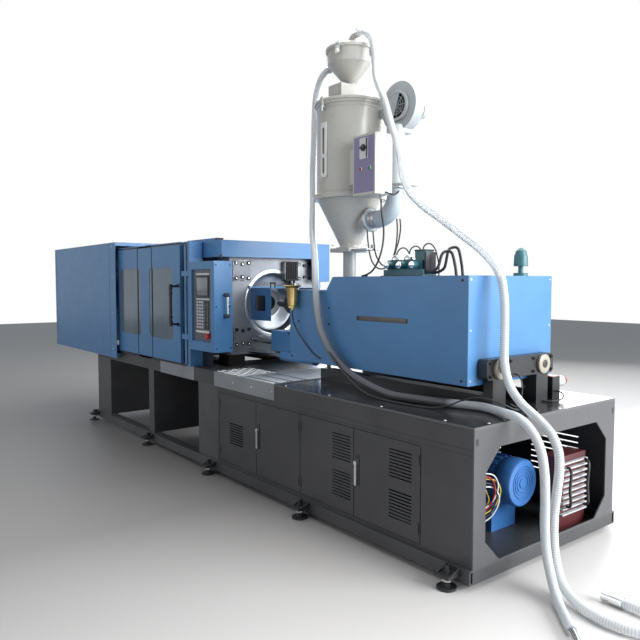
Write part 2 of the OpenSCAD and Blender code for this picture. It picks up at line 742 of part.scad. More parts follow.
// Hood over the mould space and the fixed platen, seated on the platen's top
module clamp_hood() color(guard_blue) {
  x0 = shroud_x1 + 6;
  x1 = hood_reach;
  t = shroud_t;
  z0 = guard_z1 - hood_h;
  block([x0, -hood_hw, guard_z1 - t], [x1, hood_hw, guard_z1]);
  both_sides() block([x0, hood_hw - t, z0], [x1, hood_hw, guard_z1 - cut]);
  block([x1 - t, -hood_hw, z0], [x1, hood_hw, guard_z1 - cut]);
  block([x1 - t, platen_hw - 76, z0 - 195], [x1, hood_hw, z0 + cut]);
  block([-50, hood_hw - t, z0 - 195], [x1, hood_hw, z0 + cut]);
  both_sides() block([40, platen_hw - 130, platen_z1], [160, platen_hw - 60, guard_z1 - t + cut]);
  block([x1 - 560, -hood_hw, guard_z1 - cut], [x1 - 70, -hood_hw + 60, guard_z1 + 18]);
}

// Door frame on both sides: jambs, end posts, upper tracks and lower guides, console arms
module guard_posts() color(guard_blue) {
  both_sides() {
    block([jamb_x0, post_y0, bed_z], [jamb_x1, door_y - 2, track_top]);
    block([seal_x0, post_y0 + 20, bed_z], [jamb_x0 + cut, door_back_y - 2, track_top]);
    block([shroud_x1 + 10, post_y0, bed_z], [shroud_x1 + 60, track_y1, track_top]);
    block([shroud_x1 + 10, track_y1 - 50, track_top - 70], [seal_x0 + cut, track_y1, track_top]);
    block([shroud_x1 + 10, track_y1 - 40, bed_z], [seal_x0 + cut, track_y1, bed_z + 12]);
  }
  block([jamb_x1 - cut, -post_y0 - fold_t, bed_z], [console_x0 + 90, -post_y0, console_z - 6]);
  for (z = arm_z) {
    block([jamb_x1 - 60, -console_pin_y - 11, z], [console_pin_x, -console_pin_y + 11, z + arm_h]);
    block([jamb_x1 - 60, -console_pin_y - 11, z], [jamb_x1, -post_y0 - cut, z + arm_h]);
    bar_along_z(z, z + arm_h, console_pin_x, -console_pin_y, 22);
    bar_along_z(z + cut, z + arm_h + 40, console_pin_x, -console_pin_y, console_pin_d);
  }
}

// Folded sliding door with returns on all edges
module door_pan() {
  difference() {
    block([door_x0, -door_y, guard_z0], [door_x1, -door_back_y, guard_z1]);
    block([door_x0 + fold_t, -door_y + fold_t, guard_z0 + fold_t],
      [door_x1 - fold_t, -door_back_y + cut, guard_z1 - fold_t]);
  }
  for (x = [door_x0 + 100, door_x1 - 200])
    block([x, -door_back_y - cut, guard_z1 - fold_t], [x + 100, -track_y1 + 30, guard_z1]);
}
module window_outlines() {
  z0 = guard_z0 + 180;
  z1 = guard_z1 - 205;
  round_span([door_x0 + 60, z0], [door_x0 + 545, z1], window_r);
  round_span([door_x1 - 610, z0], [door_x1 - 140, z1], window_r);
}
module bow_handle(x, z0, z1, y, reach, d) {
  for (z = [z0, z1]) bar_along_y(y - reach, y + cut, x, z, d - 5);
  bar_along_z(z0 - 0.7 * d, z1 + 0.7 * d, x, y - reach, d);
}
module front_door() color(guard_blue) {
  difference() {
    door_pan();
    along_y(-door_y - cut, -door_y + fold_t + cut) window_outlines();
  }
  bow_handle(handle_x, grip_z, grip_z + grip_l, -door_y, 73, 24);
}
module door_windows() color("#8f979c") along_y(-door_y + fold_t, -door_y + fold_t + 5) {
  z0 = guard_z0 + 180 - 18;
  z1 = guard_z1 - 205 + 18;
  round_span([door_x0 + 42, z0], [door_x0 + 563, z1], window_r);
  round_span([door_x1 - 628, z0], [door_x1 - 122, z1], window_r);
}
module back_door() color(guard_blue) mirror([0, 1, 0]) {
  door_pan();
  bow_handle(handle_x, grip_z, grip_z + grip_l, -door_y, 73, 24);
}

// Cable junction box on the fixed platen
module junction_box() color(black_paint) {
  block([platen_t, 85, axis_z + 185], [platen_t + 50, 215, axis_z + 345]);
  for (y = [110, 150, 190]) bar_along_z(axis_z + 165, axis_z + 185 + cut, platen_t + 25, y, 22);
}

// Two guide bars with end flanges, and the two rods that pull the carriage to the mould
module carriage_bars() both_sides() {
  bar_along_x(platen_t, beam_x1 - seat, bar_y, bar_z, bar_d);
  difference() {
    bar_along_x(beam_x1, beam_x1 + 14, bar_y, bar_z, 104);
    bar_along_x(beam_x1 + 4, beam_x1 + 15, bar_y, bar_z, 36);
  }
  bar_along_x(platen_t, front_block_x0 + 230, pull_y, pull_z, 36);
}

// Cross beam that holds the guide bars' ends, its posts and the two beds along the deck
module bar_support() color(black_paint) {
  difference() {
    union() {
      along_x(beam_x0, beam_x1) round_span([-300, bar_z - 55], [300, bar_z + 55], 24);
      both_sides() block([beam_x0, bar_y - 55, bed_z], [beam_x1, bar_y + 55, bar_z]);
    }
    both_sides() bar_along_x(beam_x0 - cut, beam_x1 + cut, bar_y, bar_z, bar_d + 2 * run);
  }
  both_sides() block([housing_x0 + 60, bar_y - 45, bed_z], [beam_x0 + cut, bar_y + 45, bed_z + 74]);
}

// Blue pump motor on the cabinet floor, with its fan cowl, feet and pump
module pump_motor() color("#2f6fb3") {
  x0 = bed_x1 - 640;
  z = 330;
  y = 60;
  bar_along_x(x0, x0 + 330, y, z, 250);
  bar_along_x(x0 + 330 - cut, x0 + 420, y, z, 262);
  bar_along_x(x0 - 60, x0 + cut, y, z, 200);
  bar_along_x(x0 - 210, x0 - 60 + cut, y, z, 130);
  for (a = [0:20:340]) translate([x0 + 20, y, z]) rotate([a, 0, 0]) translate([0, -2.5, 120]) cube([290, 5, 16]);
  block([x0 + 30, y - 110, rail_z + sheet_t], [x0 + 300, y + 110, z - 100]);
  block([x0 + 90, y - 60, z + 110], [x0 + 210, y + 60, z + 190]);
}

// Finned oil cooler behind the end opening
module oil_cooler() color("#4a1a1e") {
  x0 = bed_x1 - 190;
  y0 = 200;
  y1 = y0 + 270;
  block([x0, y0, rail_z + sheet_t], [x0 + 110, y1, 480]);
  for (k = [0:9]) block([x0 + 110 - cut, y0 + 12, 150 + k * 32], [x0 + 132, y1 - 12, 158 + k * 32]);
}

// Panel with contactors on the partition side of the electrical bay
module contactor_panel() color("#d8dadb") {
  x = bed_x1 - 240;
  y0 = -bed_hw + frame_d + 20;
  block([x, y0, rail_z + sheet_t], [x + 6, y0 + 250, 600]);
  for (row = [0:2], k = [0:3])
    block([x + 6 - cut, y0 + 15 + k * 58, 220 + row * 110], [x + 62, y0 + 60 + k * 58, 300 + row * 110]);
}

// Central lubricator on the deck: tank, lid rim and two capped elements
module lubricator() color(black_paint) {
  x0 = beam_x1 - 226;
  y0 = 330;
  block([x0, y0, bed_z], [x0 + 208, y0 + 74, cover_z0 - 6]);
  for (x = [x0 + 80, x0 + 170]) {
    bar_along_y(y0 + 74 - cut, y0 + 150, x, bed_z + 88, 60);
    bar_along_y(y0 + 150 - cut, y0 + 176, x, bed_z + 88, 46);
  }
}

// Carriage: front bearings, side plates, feed housing, rear bridge, injection and pull-in cylinders
module carriage_block() color(guard_blue) difference() {
  union() {
    both_sides() {
      block([front_block_x0, bar_y - 70, bar_z - 65], [front_block_x1, side_y1, bar_z + 90]);
      block([front_block_x1 - cut, side_y0, bar_z - 55], [rear_block_x1, side_y1, bar_z + 70]);
      bar_along_x(housing_x1 - cut, shot_x1, shot_cyl_y, axis_z, shot_cyl_d);
      bar_along_x(front_block_x0 + 140, housing_x0 + 20, pull_y, pull_z, 70);
      block([front_block_x0 + 150, pull_y - 25, pull_z], [front_block_x1, side_y1, bar_z - 60]);
    }
    block([housing_x0, -housing_hw - cut, bar_z - 65], [housing_x1, housing_hw + cut, housing_top]);
    block([rear_block_x1 - 150, -housing_hw - cut, bar_z - 65], [rear_block_x1, housing_hw + cut, bar_z + 70]);
  }
  both_sides() {
    bar_along_x(front_block_x0 - cut, rear_block_x1 + cut, bar_y, bar_z, bar_d + 2 * run);
    bar_along_x(housing_x1 + 20, shot_x1 + cut, shot_cyl_y, axis_z, shot_rod_d + 2 * run);
    bar_along_x(front_block_x0 + 130, housing_x0 - 10, pull_y, pull_z, 36 + 2 * run);
  }
  bar_along_x(housing_x0 - cut, housing_x1 + cut, 0, axis_z, barrel_d + 2 * seat);
  bar_along_z(axis_z, housing_top + cut, dryer_x, 0, 60);
}

// Barrel with its nozzle, heater bands and feed hole
module barrel() color(steel) difference() {
  union() {
    bar_along_x(nozzle_x1, housing_x1, 0, axis_z, barrel_d);
    translate([nozzle_dist, 0, axis_z]) rotate([0, 90, 0]) rotate_extrude()
      polygon([[0, 0], [12, 0], [22, 14], [30, 40], [30, nozzle_l - 40], [46, nozzle_l - 36],
  [46, nozzle_l + cut], [0, nozzle_l + cut]]);
    for (k = [0:3]) bar_along_x(nozzle_x1 + 30 + k * 145, nozzle_x1 + 140 + k * 145, 0, axis_z, barrel_d + 24);
  }
  bar_along_x(nozzle_x1 - 60, housing_x1 + cut, 0, axis_z, barrel_bore + 2 * run);
  bar_along_x(nozzle_dist - cut, nozzle_x1, 0, axis_z, 6);
  bar_along_z(axis_z, axis_z + barrel_d, dryer_x, 0, 44);
}

// Outline of the injection cover seen from the side, drawn in by t
module cover_outline(t) polygon([
  [cover_x0 - (t > 0 ? cut : 0), cover_z0 - (t > 0 ? cut : 0)], [cover_x1 - t, cover_z0 - (t > 0 ? cut : 0)],
  [cover_x1 - t, cover_z1 - t], [cover_x0 + 476 + 0.6 * t, cover_z1 - t],
  [cover_x0 + 409 + 0.6 * t, cover_low_z - t],
  [cover_x0 - (t > 0 ? cut : 0), cover_low_z - t]]);

// Sheet cover over the injection unit, with the pointer slot, and its four stand-off brackets
module injection_cover() color(guard_blue) {
  hw = cover_w / 2;
  difference() {
    along_y(-hw, hw) cover_outline(0);
    along_y(-hw + fold_t, hw - fold_t) cover_outline(fold_t);
    bar_along_z(cover_low_z - 30, cover_low_z + 10, dryer_x, 0, neck_d + 14);
    both_sides() bar_along_x(cover_x1 - 10, cover_x1 + cut, bar_y, bar_z, bar_d + 12);
    along_y(-hw - cut, -hw + fold_t + cut) round_span([cover_x0 + 710, 1216], [cover_x0 + 1150, 1244], 10);
  }
  both_sides() {
    block([housing_x0 + 30, housing_hw + cut, axis_z - 120], [housing_x0 + 90, hw - fold_t + cut, axis_z - 60]);
    block([rear_block_x1 - 90, side_y1, bar_z], [rear_block_x1 - 30, hw - fold_t + cut, bar_z + 50]);
  }
}

// Crosshead with the screw's hydraulic motor and the two injection rods
module injection_crosshead() color(cast_grey) difference() {
  union() {
    along_x(head_x0, head_x1) round_span([-220, axis_z - 95], [220, axis_z + 95], 40);
    bar_along_x(head_x1 - cut, head_x1 + 60, 0, axis_z, 210);
    bar_along_x(head_x1 + 60 - cut, head_x1 + 260, 0, axis_z, 180);
    bar_along_x(head_x0 - 40, head_x0 + cut, 0, axis_z, 150);
    both_sides() bar_along_x(housing_x1 + shot_travel + 40, head_x0 + cut, shot_cyl_y, axis_z, shot_rod_d);
  }
  bar_along_x(head_x0 - 40 - cut, head_x0 + 70, 0, axis_z, 60 + 2 * run);
}

// Screw with its tip, flight and shaft
module screw() color(chrome) {
  translate([nozzle_x1 + shot_travel - 50, 0, axis_z]) rotate([0, 90, 0])
    rotate_extrude() polygon([[0, 0], [6, 6], [18, 50], [18, 60], [barrel_bore / 2 - 1, 70],
  [barrel_bore / 2 - 1, 80], [0, 80]]);
  bar_along_x(nozzle_x1 + shot_travel + 29, head_x0 - 60, 0, axis_z, 40);
  for (k = [0:17])
    bar_along_x(nozzle_x1 + shot_travel + 50 + k * 34, nozzle_x1 + shot_travel + 58 + k * 34, 0, axis_z, barrel_bore);
  bar_along_x(head_x0 - 80, head_x0 + 60, 0, axis_z, 60);
}

// Purge guard over the nozzle, open below and toward the barrel, hinged at the platen
module purge_guard() color(guard_blue) {
  t = fold_t;
  z0 = guard_bottom;
  z1 = guard_top;
  hx = platen_t + 12;
  difference() {
    block([guard_x0, -guard_hw, z0], [guard_x1, guard_hw, z1]);
    block([guard_x0 - cut, -guard_hw + t, z0 - cut], [guard_x1 + cut, guard_hw - t, z1 - t]);
    along_y(-guard_hw - cut, -guard_hw + t + cut)
      round_span([guard_x0 + 70, z0 + 75], [guard_x0 + 215, z1 - 60], 14);
  }
  bow_handle_x(guard_x1 - 90, guard_x1 - 30, z1, 38);
  bar_along_y(-guard_hw - 20, guard_hw + 20, hx, z1 + 4, 12);
}
module bow_handle_x(x0, x1, z, h) {
  for (x = [x0, x1]) bar_along_z(z - cut, z + h, x, -guard_hw + 60, 10);
  bar_along_x(x0 - 8, x1 + 8, -guard_hw + 60, z + h, 13);
}

// Console housing: folded box with a recess for the panel, sleeves for its pins and a side handle
module console_housing() color(guard_blue) {
  y0 = -console_y0;
  y1 = -console_y1;
  difference() {
    block([console_x0, y0, console_z], [console_x1, y1, console_z1]);
    along_y(y0 - cut, y0 + console_recess)
      round_span([console_x0 + 40, console_z + 70], [console_x1 - 55, console_z1 - 60], 6);
    bar_along_y(y0, y0 + console_recess + 30, stop_at.x, stop_at.y, 22 + 2 * run);
  }
  for (z = arm_z) difference() {
    union() {
      bar_along_z(z + arm_h + seat, z + arm_h + 38, console_pin_x, -console_pin_y, 24);
      block([console_pin_x, -console_pin_y - 6, z + arm_h + seat],
  [console_x0 + cut, -console_pin_y + 6, z + arm_h + 38]);
    }
    bar_along_z(z + arm_h - cut, z + arm_h + 39, console_pin_x, -console_pin_y, console_pin_d + 2 * run);
  }
  for (z = [console_z + 270, console_z + 430]) bar_along_x(console_x1 - cut, console_x1 + 44, y0 + 92, z, 16);
  bar_along_z(console_z + 258, console_z + 442, console_x1 + 44, y0 + 92, 19);
}
stop_at = [console_x0 + 300, console_z + 118];

// Control panel in the console's recess: screen bezel, key fields and the grey base plate
module console_panel() color("#9aa0a4") {
  y = -console_y0 + console_recess;
  x0 = console_x0 + 46;
  difference() {
    union() {
      block([x0, y - 4, console_z + 76], [console_x1 - 61, y - seat / 3, console_z1 - 66]);
      block([x0 + 60, y - 12, console_z1 - 270], [x0 + 250, y - 3, console_z1 - 110]);
      for (r = [0:8], c = [0:4])
        block([x0 + 62 + c * 39, y - 9, console_z + 170 + r * 24],
  [x0 + 92 + c * 39, y - 3, console_z + 186 + r * 24]);
      block([x0 + 52, y - 10, console_z + 136], [x0 + 262, y - 3, console_z + 156]);
    }
    bar_along_y(y - 20, y + cut, stop_at.x, stop_at.y, 26);
  }
}

// Mushroom head of the emergency stop on its shaft
module e_stop() color("#c02822") {
  y = -console_y0 + console_recess;
  bar_along_y(y - 34, y - 18, stop_at.x, stop_at.y, stop_cap_d);
  bar_along_y(y - 19, y + 20, stop_at.x, stop_at.y, 22);
}

module dryer_ring(points) translate([dryer_x, 0, 0]) rotate_extrude($fn = 72) polygon(points);

// Neck tube with its foot flange and the two plates that the feed gate slides between
module dryer_base() color(cream) difference() {
  union() {
    block([dryer_x - 75, -75, neck_z0], [dryer_x + 75, 75, neck_z0 + 8]);
    bar_along_z(neck_z0, gate_z + cut, dryer_x, 0, neck_d);
    block([dryer_x - 100, -100, gate_z], [dryer_x + 100, 100, gate_z + 8]);
    block([dryer_x - 100, -100, gate_z + 18], [dryer_x + 100, 100, cone_z0]);
    both_sides() block([dryer_x - 100, 72, gate_z + 4], [dryer_x + 100, 100, gate_z + 20]);
    for (a = [0:90:270]) translate([dryer_x, 0, 0]) rotate([0, 0, a])
      along_y(-3, 3) polygon([[neck_d / 2 - cut, cover_low_z + 8], [neck_d / 2 + 50, cover_low_z + 8],
  [neck_d / 2 + 50, cover_low_z + 18], [neck_d / 2 - cut, cover_low_z + 80]]);
  }
  bar_along_z(neck_z0 - cut, cone_z0 + cut, dryer_x, 0, neck_d - 16);
}

// Sliding feed gate with its hole and pull knob
module feed_gate() color(steel) difference() {
  union() {
    block([dryer_x - 92, -70, gate_z + 8 + seat], [dryer_x + 250, 70, gate_z + 18 - seat]);
    bar_along_z(gate_z + 10, gate_z + 44, dryer_x + 232, 0, 20);
  }
  bar_along_z(gate_z, gate_z + 17.9 + cut, dryer_x, 0, neck_d - 16);
}

// Cone of the dryer with its flanges and the stub for the warm air
module dryer_cone() color(cream) {
  top_r = drum_d / 2 - 5;
  out_r = outlet_d / 2;
  z0 = cone_z0;
  z1 = drum_z0 - 16;
  difference() {
    union() {
      dryer_ring([[0, z0], [out_r + 24, z0], [out_r + 24, z0 + 6], [out_r, z0 + 8], [out_r, z0 + 20],
        [top_r, z1], [top_r + 28, z1], [top_r + 28, drum_z0], [0, drum_z0]]);
      inlet_pipe(out_r, 200, duct_d);
      inlet_pipe(188, 200, duct_d + 40);
    }
    dryer_ring([[0, z0 - cut], [out_r - 3, z0 - cut], [out_r - 3, z0 + 20], [top_r - 3, z1],
  [top_r - 3, drum_z0 + cut],
      [0, drum_z0 + cut]]);
    inlet_pipe(out_r, 201, duct_d - 6);
  }
}
module inlet_pipe(r0, r1, d) translate([dryer_x, 0, inlet_z]) rotate([0, 0, duct_turn]) bar_along_x(r0, r1, 0, 0, d);

// Drum with lower flange, rolled rim, hinge lugs and the long level window
module dryer_drum() color(cream) {
  r = drum_d / 2;
  difference() {
    union() {
      dryer_ring([[r - 3, drum_z0], [r + 23, drum_z0], [r + 23, drum_z0 + 16], [r + 4, drum_z0 + 20],
  [r, drum_z0 + 34],
        [r, drum_z1 - 24], [r + 10, drum_z1 - 16], [r + 10, drum_z1], [r - 3, drum_z1]]);
      intersection() {
        block([dryer_x - 32, -r - 8, drum_z0 + 125], [dryer_x + 32, -r + 12, drum_z0 + 495]);
        dryer_ring([[r - 2, drum_z0], [r + 7, drum_z0], [r + 7, drum_z1], [r - 2, drum_z1]]);
      }
    }
    for (z = [[150, 260], [280, 460]])
      along_y(-r - 20, -r + 20) round_span([dryer_x - 11, drum_z0 + z[0]], [dryer_x + 11, drum_z0 + z[1]], 10);
  }
}

// Lid of the drum with its clamps and the square stand that the receiver sits on
module dryer_lid() color(cream) {
  r = drum_d / 2;
  z = drum_z1;
  dryer_ring([[0, z], [r + 18, z], [r + 18, z + 16], [r + 6, z + 22], [r - 40, z + 34], [r - 90, lid_z1],
  [0, lid_z1]]);
  difference() {
    block([dryer_x - 70, -140, lid_z1 - cut], [dryer_x + 70, 140, stand_z1]);
    block([dryer_x - 60, -130, lid_z1 + 10], [dryer_x + 60, 130, stand_z1 - 6]);
    block([dryer_x - 40, -141, lid_z1 + 20], [dryer_x + 40, -120, stand_z1 - 24]);
    bar_along_z(stand_z1 - 10, stand_z1 + cut, dryer_x, 0, 70);
  }
  for (a = [31, 151, 271]) translate([dryer_x, 0, 0]) rotate([0, 0, a])
    block([r + 12, -12, z - 22], [r + 30, 12, z + 20]);
}

// Vacuum receiver: cone on the stand, body, rolled rim and the side inlet
module receiver() color(cream) {
  r = receiver_d / 2;
  z0 = stand_z1;
  difference() {
    union() {
      dryer_ring([[0, z0], [58, z0], [58, z0 + 6], [44, z0 + 8], [44, z0 + 20], [r, z0 + 150],
  [r, receiver_z1 - 14],
        [r + 16, receiver_z1 - 12], [r + 16, receiver_z1], [0, receiver_z1]]);
      bar_along_x(dryer_x - r - 60, dryer_x - r + 20, 0, material_port_z, hose_d - 6);
      bar_along_x(dryer_x - r - 8, dryer_x - r + 20, 0, material_port_z, hose_d + 24);
    }
    dryer_ring([[0, z0 - cut], [40, z0 - cut], [40, z0 + 21], [r - 3, z0 + 152],
  [r - 3, receiver_z1 + cut], [0, receiver_z1 + cut]]);
    bar_along_x(dryer_x - r - 61, dryer_x, 0, material_port_z, hose_d - 14);
  }
}
material_port_z = receiver_z1 - 70;

// Domed lid of the receiver with the vacuum port and two clips
module receiver_lid() color(cream) {
  r = receiver_d / 2;
  z = receiver_z1;
  difference() {
    union() {
      dryer_ring([[0, z], [r + 14, z], [r + 14, z + 8], [r - 10, z + 18], [r - 60, z + 40], [0, z + 44]]);
      bar_along_z(z + 30, z + 40, dryer_x, 0, hose_d + 20);
      lid_elbow(hose_d - 2, 10);
    }
    lid_elbow(hose_d - 10, 11);
  }
  for (a = [20, 200]) translate([dryer_x, 0, 0]) rotate([0, 0, a])
    block([r + 16 + seat, -14, z - 60], [r + 24, 14, z + 14]);
  for (a = [20, 200]) translate([dryer_x, 0, 0]) rotate([0, 0, a])
    block([r - 4, -14, z + 6], [r + 24, 14, z + 14]);
}

// Pipe that rises from the lid and turns level toward the injection end
module lid_elbow(d, stub) translate([dryer_x, 0, 0]) {
  r = 60;
  bar_along_z(receiver_z1 - cut, lid_port_z - r, 0, 0, d);
  translate([r, 0, lid_port_z - r]) rotate([90, 0, 0]) rotate([0, 0, 90])
    rotate_extrude(angle = 90) translate([r, 0]) circle(d = d);
  bar_along_x(r, r + stub, 0, lid_port_z, d);
}
lid_port_z = receiver_z1 + 95;

// Elbow from the heater pipe down into the cone, with a flange at each end
module air_duct() color("#c9d3de") translate([dryer_x, 0, 0]) rotate([0, 0, duct_turn]) {
  x0 = 200 + seat;
  x1 = duct_r - bend_r;
  difference() {
    union() {
      bar_along_x(x0, x1 + cut, 0, inlet_z, duct_d);
      bar_along_x(x0, x0 + 12, 0, inlet_z, duct_d + 40);
      duct_bend(duct_d);
      bar_along_z(inlet_z + bend_r - cut, duct_z1, duct_r, 0, duct_d);
      bar_along_z(duct_z1 - 12, duct_z1, duct_r, 0, duct_d + 40);
    }
    bar_along_x(x0 - cut, x1 + cut, 0, inlet_z, duct_d - 6);
    duct_bend(duct_d - 6);
    bar_along_z(inlet_z + bend_r - cut, duct_z1 + cut, duct_r, 0, duct_d - 6);
  }
}
module duct_bend(d) translate([duct_r - bend_r, 0, inlet_z + bend_r]) rotate([90, 0, 0]) rotate([0, 0, -90])
  rotate_extrude(angle = 90) translate([bend_r, 0]) circle(d = d);

// Blower on its heater pipe: volute, inlet ring, motor, flange plate and the bracket to the drum
module blower_housing() color("#c3c9c9") {
  z0 = duct_z1 + seat;
  heater = [dryer_x + duct_r * cos(duct_turn), duct_r * sin(duct_turn)];
  ym = (blower_y0 + blower_y1) / 2;
  difference() {
    union() {
      bar_along_z(z0, blower_z - volute_d / 2 + 30, heater.x, heater.y, duct_d + 4);
      block([heater.x - 90, heater.y - 68, z0], [heater.x + 120, heater.y + 90, z0 + 10]);
      bar_along_y(blower_y0, blower_y1, blower_x, blower_z, volute_d);
      bar_along_y(blower_y0 - 14, blower_y0 + cut, blower_x, blower_z, 190);
      block([heater.x - 45, blower_y0, blower_z - volute_d / 2 - 20],
  [heater.x + 60, blower_y1, blower_z - 90]);
      bar_along_y(blower_y1 - cut, blower_y1 + 120, blower_x, blower_z, 124);
      bar_along_y(blower_y1 + 120 - cut, blower_y1 + 150, blower_x, blower_z, 100);
      block([dryer_x + drum_d / 2 - 20, ym - 15, blower_z - 40], [blower_x - 130, ym + 15, blower_z + 20]);
    }
    bar_along_y(blower_y0 + 5, blower_y1 - 5, blower_x, blower_z, volute_d - 10);
    bar_along_y(blower_y0 - 20, blower_y0 + 10, blower_x, blower_z, 160);
    bar_along_y(blower_y1 - 10, blower_y1 + 60, blower_x, blower_z, 20 + 2 * run);
    bar_along_z(z0 - cut, blower_z - volute_d / 2 + 4, heater.x, heater.y, duct_d - 4);
    bar_along_z(0, blower_z + volute_d, dryer_x, 0, drum_d + 2 * seat);
  }
}

// Centrifugal wheel with its back disc, blades, hub and shaft
module blower_impeller() color("#4a4d4f") translate([blower_x, 0, blower_z]) {
  bar_along_y(blower_y1 - 18, blower_y1 - 14, 0, 0, 250);
  bar_along_y(blower_y0 + 24, blower_y1 - 16, 0, 0, 44);
  bar_along_y(blower_y1 - 20, blower_y1 + 50, 0, 0, 20);
  for (a = [0:30:330]) rotate([0, a, 0]) translate([34, 0, 0]) rotate([0, 25, 0])
    block([0, blower_y0 + 16, -2], [84, blower_y1 - 16, 2]);
}

// Control box of the dryer with its saddle on the drum, controller face and button bores
module dryer_control() color(cream) difference() {
  union() {
    block([control_x0, control_y0, control_z0], [control_x1, control_y1, control_z1]);
    block([dryer_x + 60, control_y0 + 50, control_z0 + 90],
  [control_x0 + cut, control_y1 - 20, control_z1 - 60]);
    along_y(control_y0 - 10, control_y0 + cut)
      round_span([knob_x - 38, knob_z - 70], [knob_x + 38, knob_z + 62], 6);
    bar_along_z(control_z0 - 24, control_z0 + cut, control_x1 - 60, control_y1 - 40, 26);
  }
  bar_along_z(0, control_z1 + cut, dryer_x, 0, drum_d + 2 * seat);
  bar_along_y(control_y0 - 20, control_y0 + 14, knob_x, knob_z, 14 + 2 * run);
  for (x = [stop_x, start_x]) bar_along_y(control_y0 - cut, control_y0 + 20, x, button_z, button_d + 2 * run);
}
module controller_knob() color(black_paint) {
  difference() {
    bar_along_y(control_y0 - 28, control_y0 - 10 - seat, knob_x, knob_z, 44);
    block([knob_x - 30, control_y0 - 30, knob_z + 6], [knob_x + 30, control_y0 - 18, knob_z + 30]);
    block([knob_x - 30, control_y0 - 30, knob_z - 30], [knob_x + 30, control_y0 - 18, knob_z - 6]);
  }
  bar_along_y(control_y0 - 12, control_y0 + 12, knob_x, knob_z, 14);
}
module push_button(x) {
  bar_along_y(control_y0 - 8, control_y0 + 12, x, button_z, button_d);
}
module start_button() color("#1f7a4d") push_button(start_x);
module stop_button() color("#8c1f35") push_button(stop_x);

// Hydraulic valve stack on the cover's top, with three solenoids, and the breather beside it
module valve_block() color("#3f7f86") {
  x0 = cover_x0 + 620;
  z = cover_z1;
  block([x0, -60, z], [x0 + 350, 60, z + 46]);
  for (k = [0:2]) {
    x = x0 + 20 + k * 112;
    block([x, -45, z + 46 - cut], [x + 84, 45, z + 104]);
    bar_along_y(-95, -44, x + 42, z + 74, 46);
    bar_along_y(44, 95, x + 42, z + 74, 46);
  }
  block([x0 + 262, -40, z + 100], [x0 + 345, 40, z + 160]);
  bar_along_z(z, z + 20, cover_x1 - 160, 300, 84);
  bar_along_z(z + 19, z + 70, cover_x1 - 160, 300, 30);
  translate([cover_x1 - 160, 300, z + 60]) rotate_extrude()
    polygon([[0, 0], [42, 0], [42, 14], [40, 60], [30, 92], [10, 108], [0, 110]]);
}

// Brass work lamp hung on the cover's front edge, mouth up, with its cap and hook
module work_lamp() color("#b8923a") {
  translate([lamp_x, lamp_y, lamp_z0]) rotate_extrude($fn = 40)
    polygon([[0, 0], [30, 0], [30, 16], [34, 18], [44, 138], [72, 152], [72, 156], [41, 142], [31, 22],
  [0, 20]]);
  bar_along_z(lamp_z0 - 16, lamp_z0 + cut, lamp_x, lamp_y, 20);
  block([lamp_x - 8, lamp_y + 32, lamp_z0 + 60], [lamp_x + 8, -cover_w / 2, lamp_z0 + 90]);
}

// Swept tube along a list of points: rings on the mitre planes, joined to one closed skin
function unit(v) = v / norm(v);
function way_at(p, i) = let (n = len(p) - 1)
  i == 0 ? unit(p[1] - p[0]) : i == n ? unit(p[n] - p[n - 1]) : unit(unit(p[i] - p[i - 1]) + unit(p[i + 1] - p[i]));
function side_list(p, i = 0, s = [0, 1, 0]) = let (w = way_at(p, i), u = unit(s - (s * w) * w))
  i == len(p) - 1 ? [u] : concat([u], side_list(p, i + 1, u));
function curve_at(p, i, t) = let (n = len(p) - 1, a = p[max(i - 1, 0)], b = p[i], c = p[i + 1], d = p[min(i + 2, n)])
  0.5 * ((2 * b) + (c - a) * t + (2 * a - 5 * b + 4 * c - d) * t * t + (3 * b - a - 3 * c + d) * t * t * t);
function curve(p, k) = concat([for (i = [0:len(p) - 2], j = [0:k - 1]) curve_at(p, i, j / k)], [p[len(p) - 1]]);
module swept(p, d, sides = 8) {
  s = side_list(p);
  n = len(p);
  points = [for (i = [0:n - 1], a = [0:sides - 1])
    let (w = way_at(p, i), v = cross(w, s[i]), t = 360 * a / sides) p[i] + d / 2 * (cos(t) * s[i] + sin(t) * v)];
  walls = [for (i = [0:n - 2], a = [0:sides - 1])
    [i * sides + a, i * sides + (a + 1) % sides, (i + 1) * sides + (a + 1) % sides, (i + 1) * sides + a]];
  ends = [[for (a = [sides - 1:-1:0]) a], [for (a = [0:sides - 1]) (n - 1) * sides + a]];
  mirror_faces = [for (f = concat(walls, ends)) [for (k = [len(f) - 1:-1:0]) f[k]]];
  polyhedron(points, mirror_faces);
}

// Routes of the hoses and leads, as points chosen by hand
vacuum_route = [[1240.8, 0, 3160], [1265, 0, 3160], [1290, 0, 3160], [1352, -2, 3130], [1401, -6, 3072],
  [1432, -16, 2975],
  [1480, -40, 2800], [1600, -80, 2625], [1740, -155, 2430], [1850, -215, 2300],
  [1925, -255, 2180], [1955, -262, 2070], [2003, -255, 1978], [2095, -248, 1893], [2222, -240, 1811],
  [2366, -230, 1714], [2510, -215, 1608], [2600, -203, 1500], [2634, -204, 1365], [2642, -208, 1205],
  [2650, -216, 1040], [2690, -222, 920], [2750, -221, 848], [2805, -221, 808], [2868, -223, 770],
  [2935, -226, 715], [2978, -232, 640], [2990, -240, 550], [2984, -248, 440], [2978, -258, 320],
  [2992, -275, 200],
  [3040, -315, 100], [3120, -370, 45], [3230, -425, 26], [3350, -450, 26], [3470, -430, 26], [3550, -350, 26],
  [3540, -265, 26], [3470, -240, 26], [3390, -240, 26], [3320, -240, 26]];
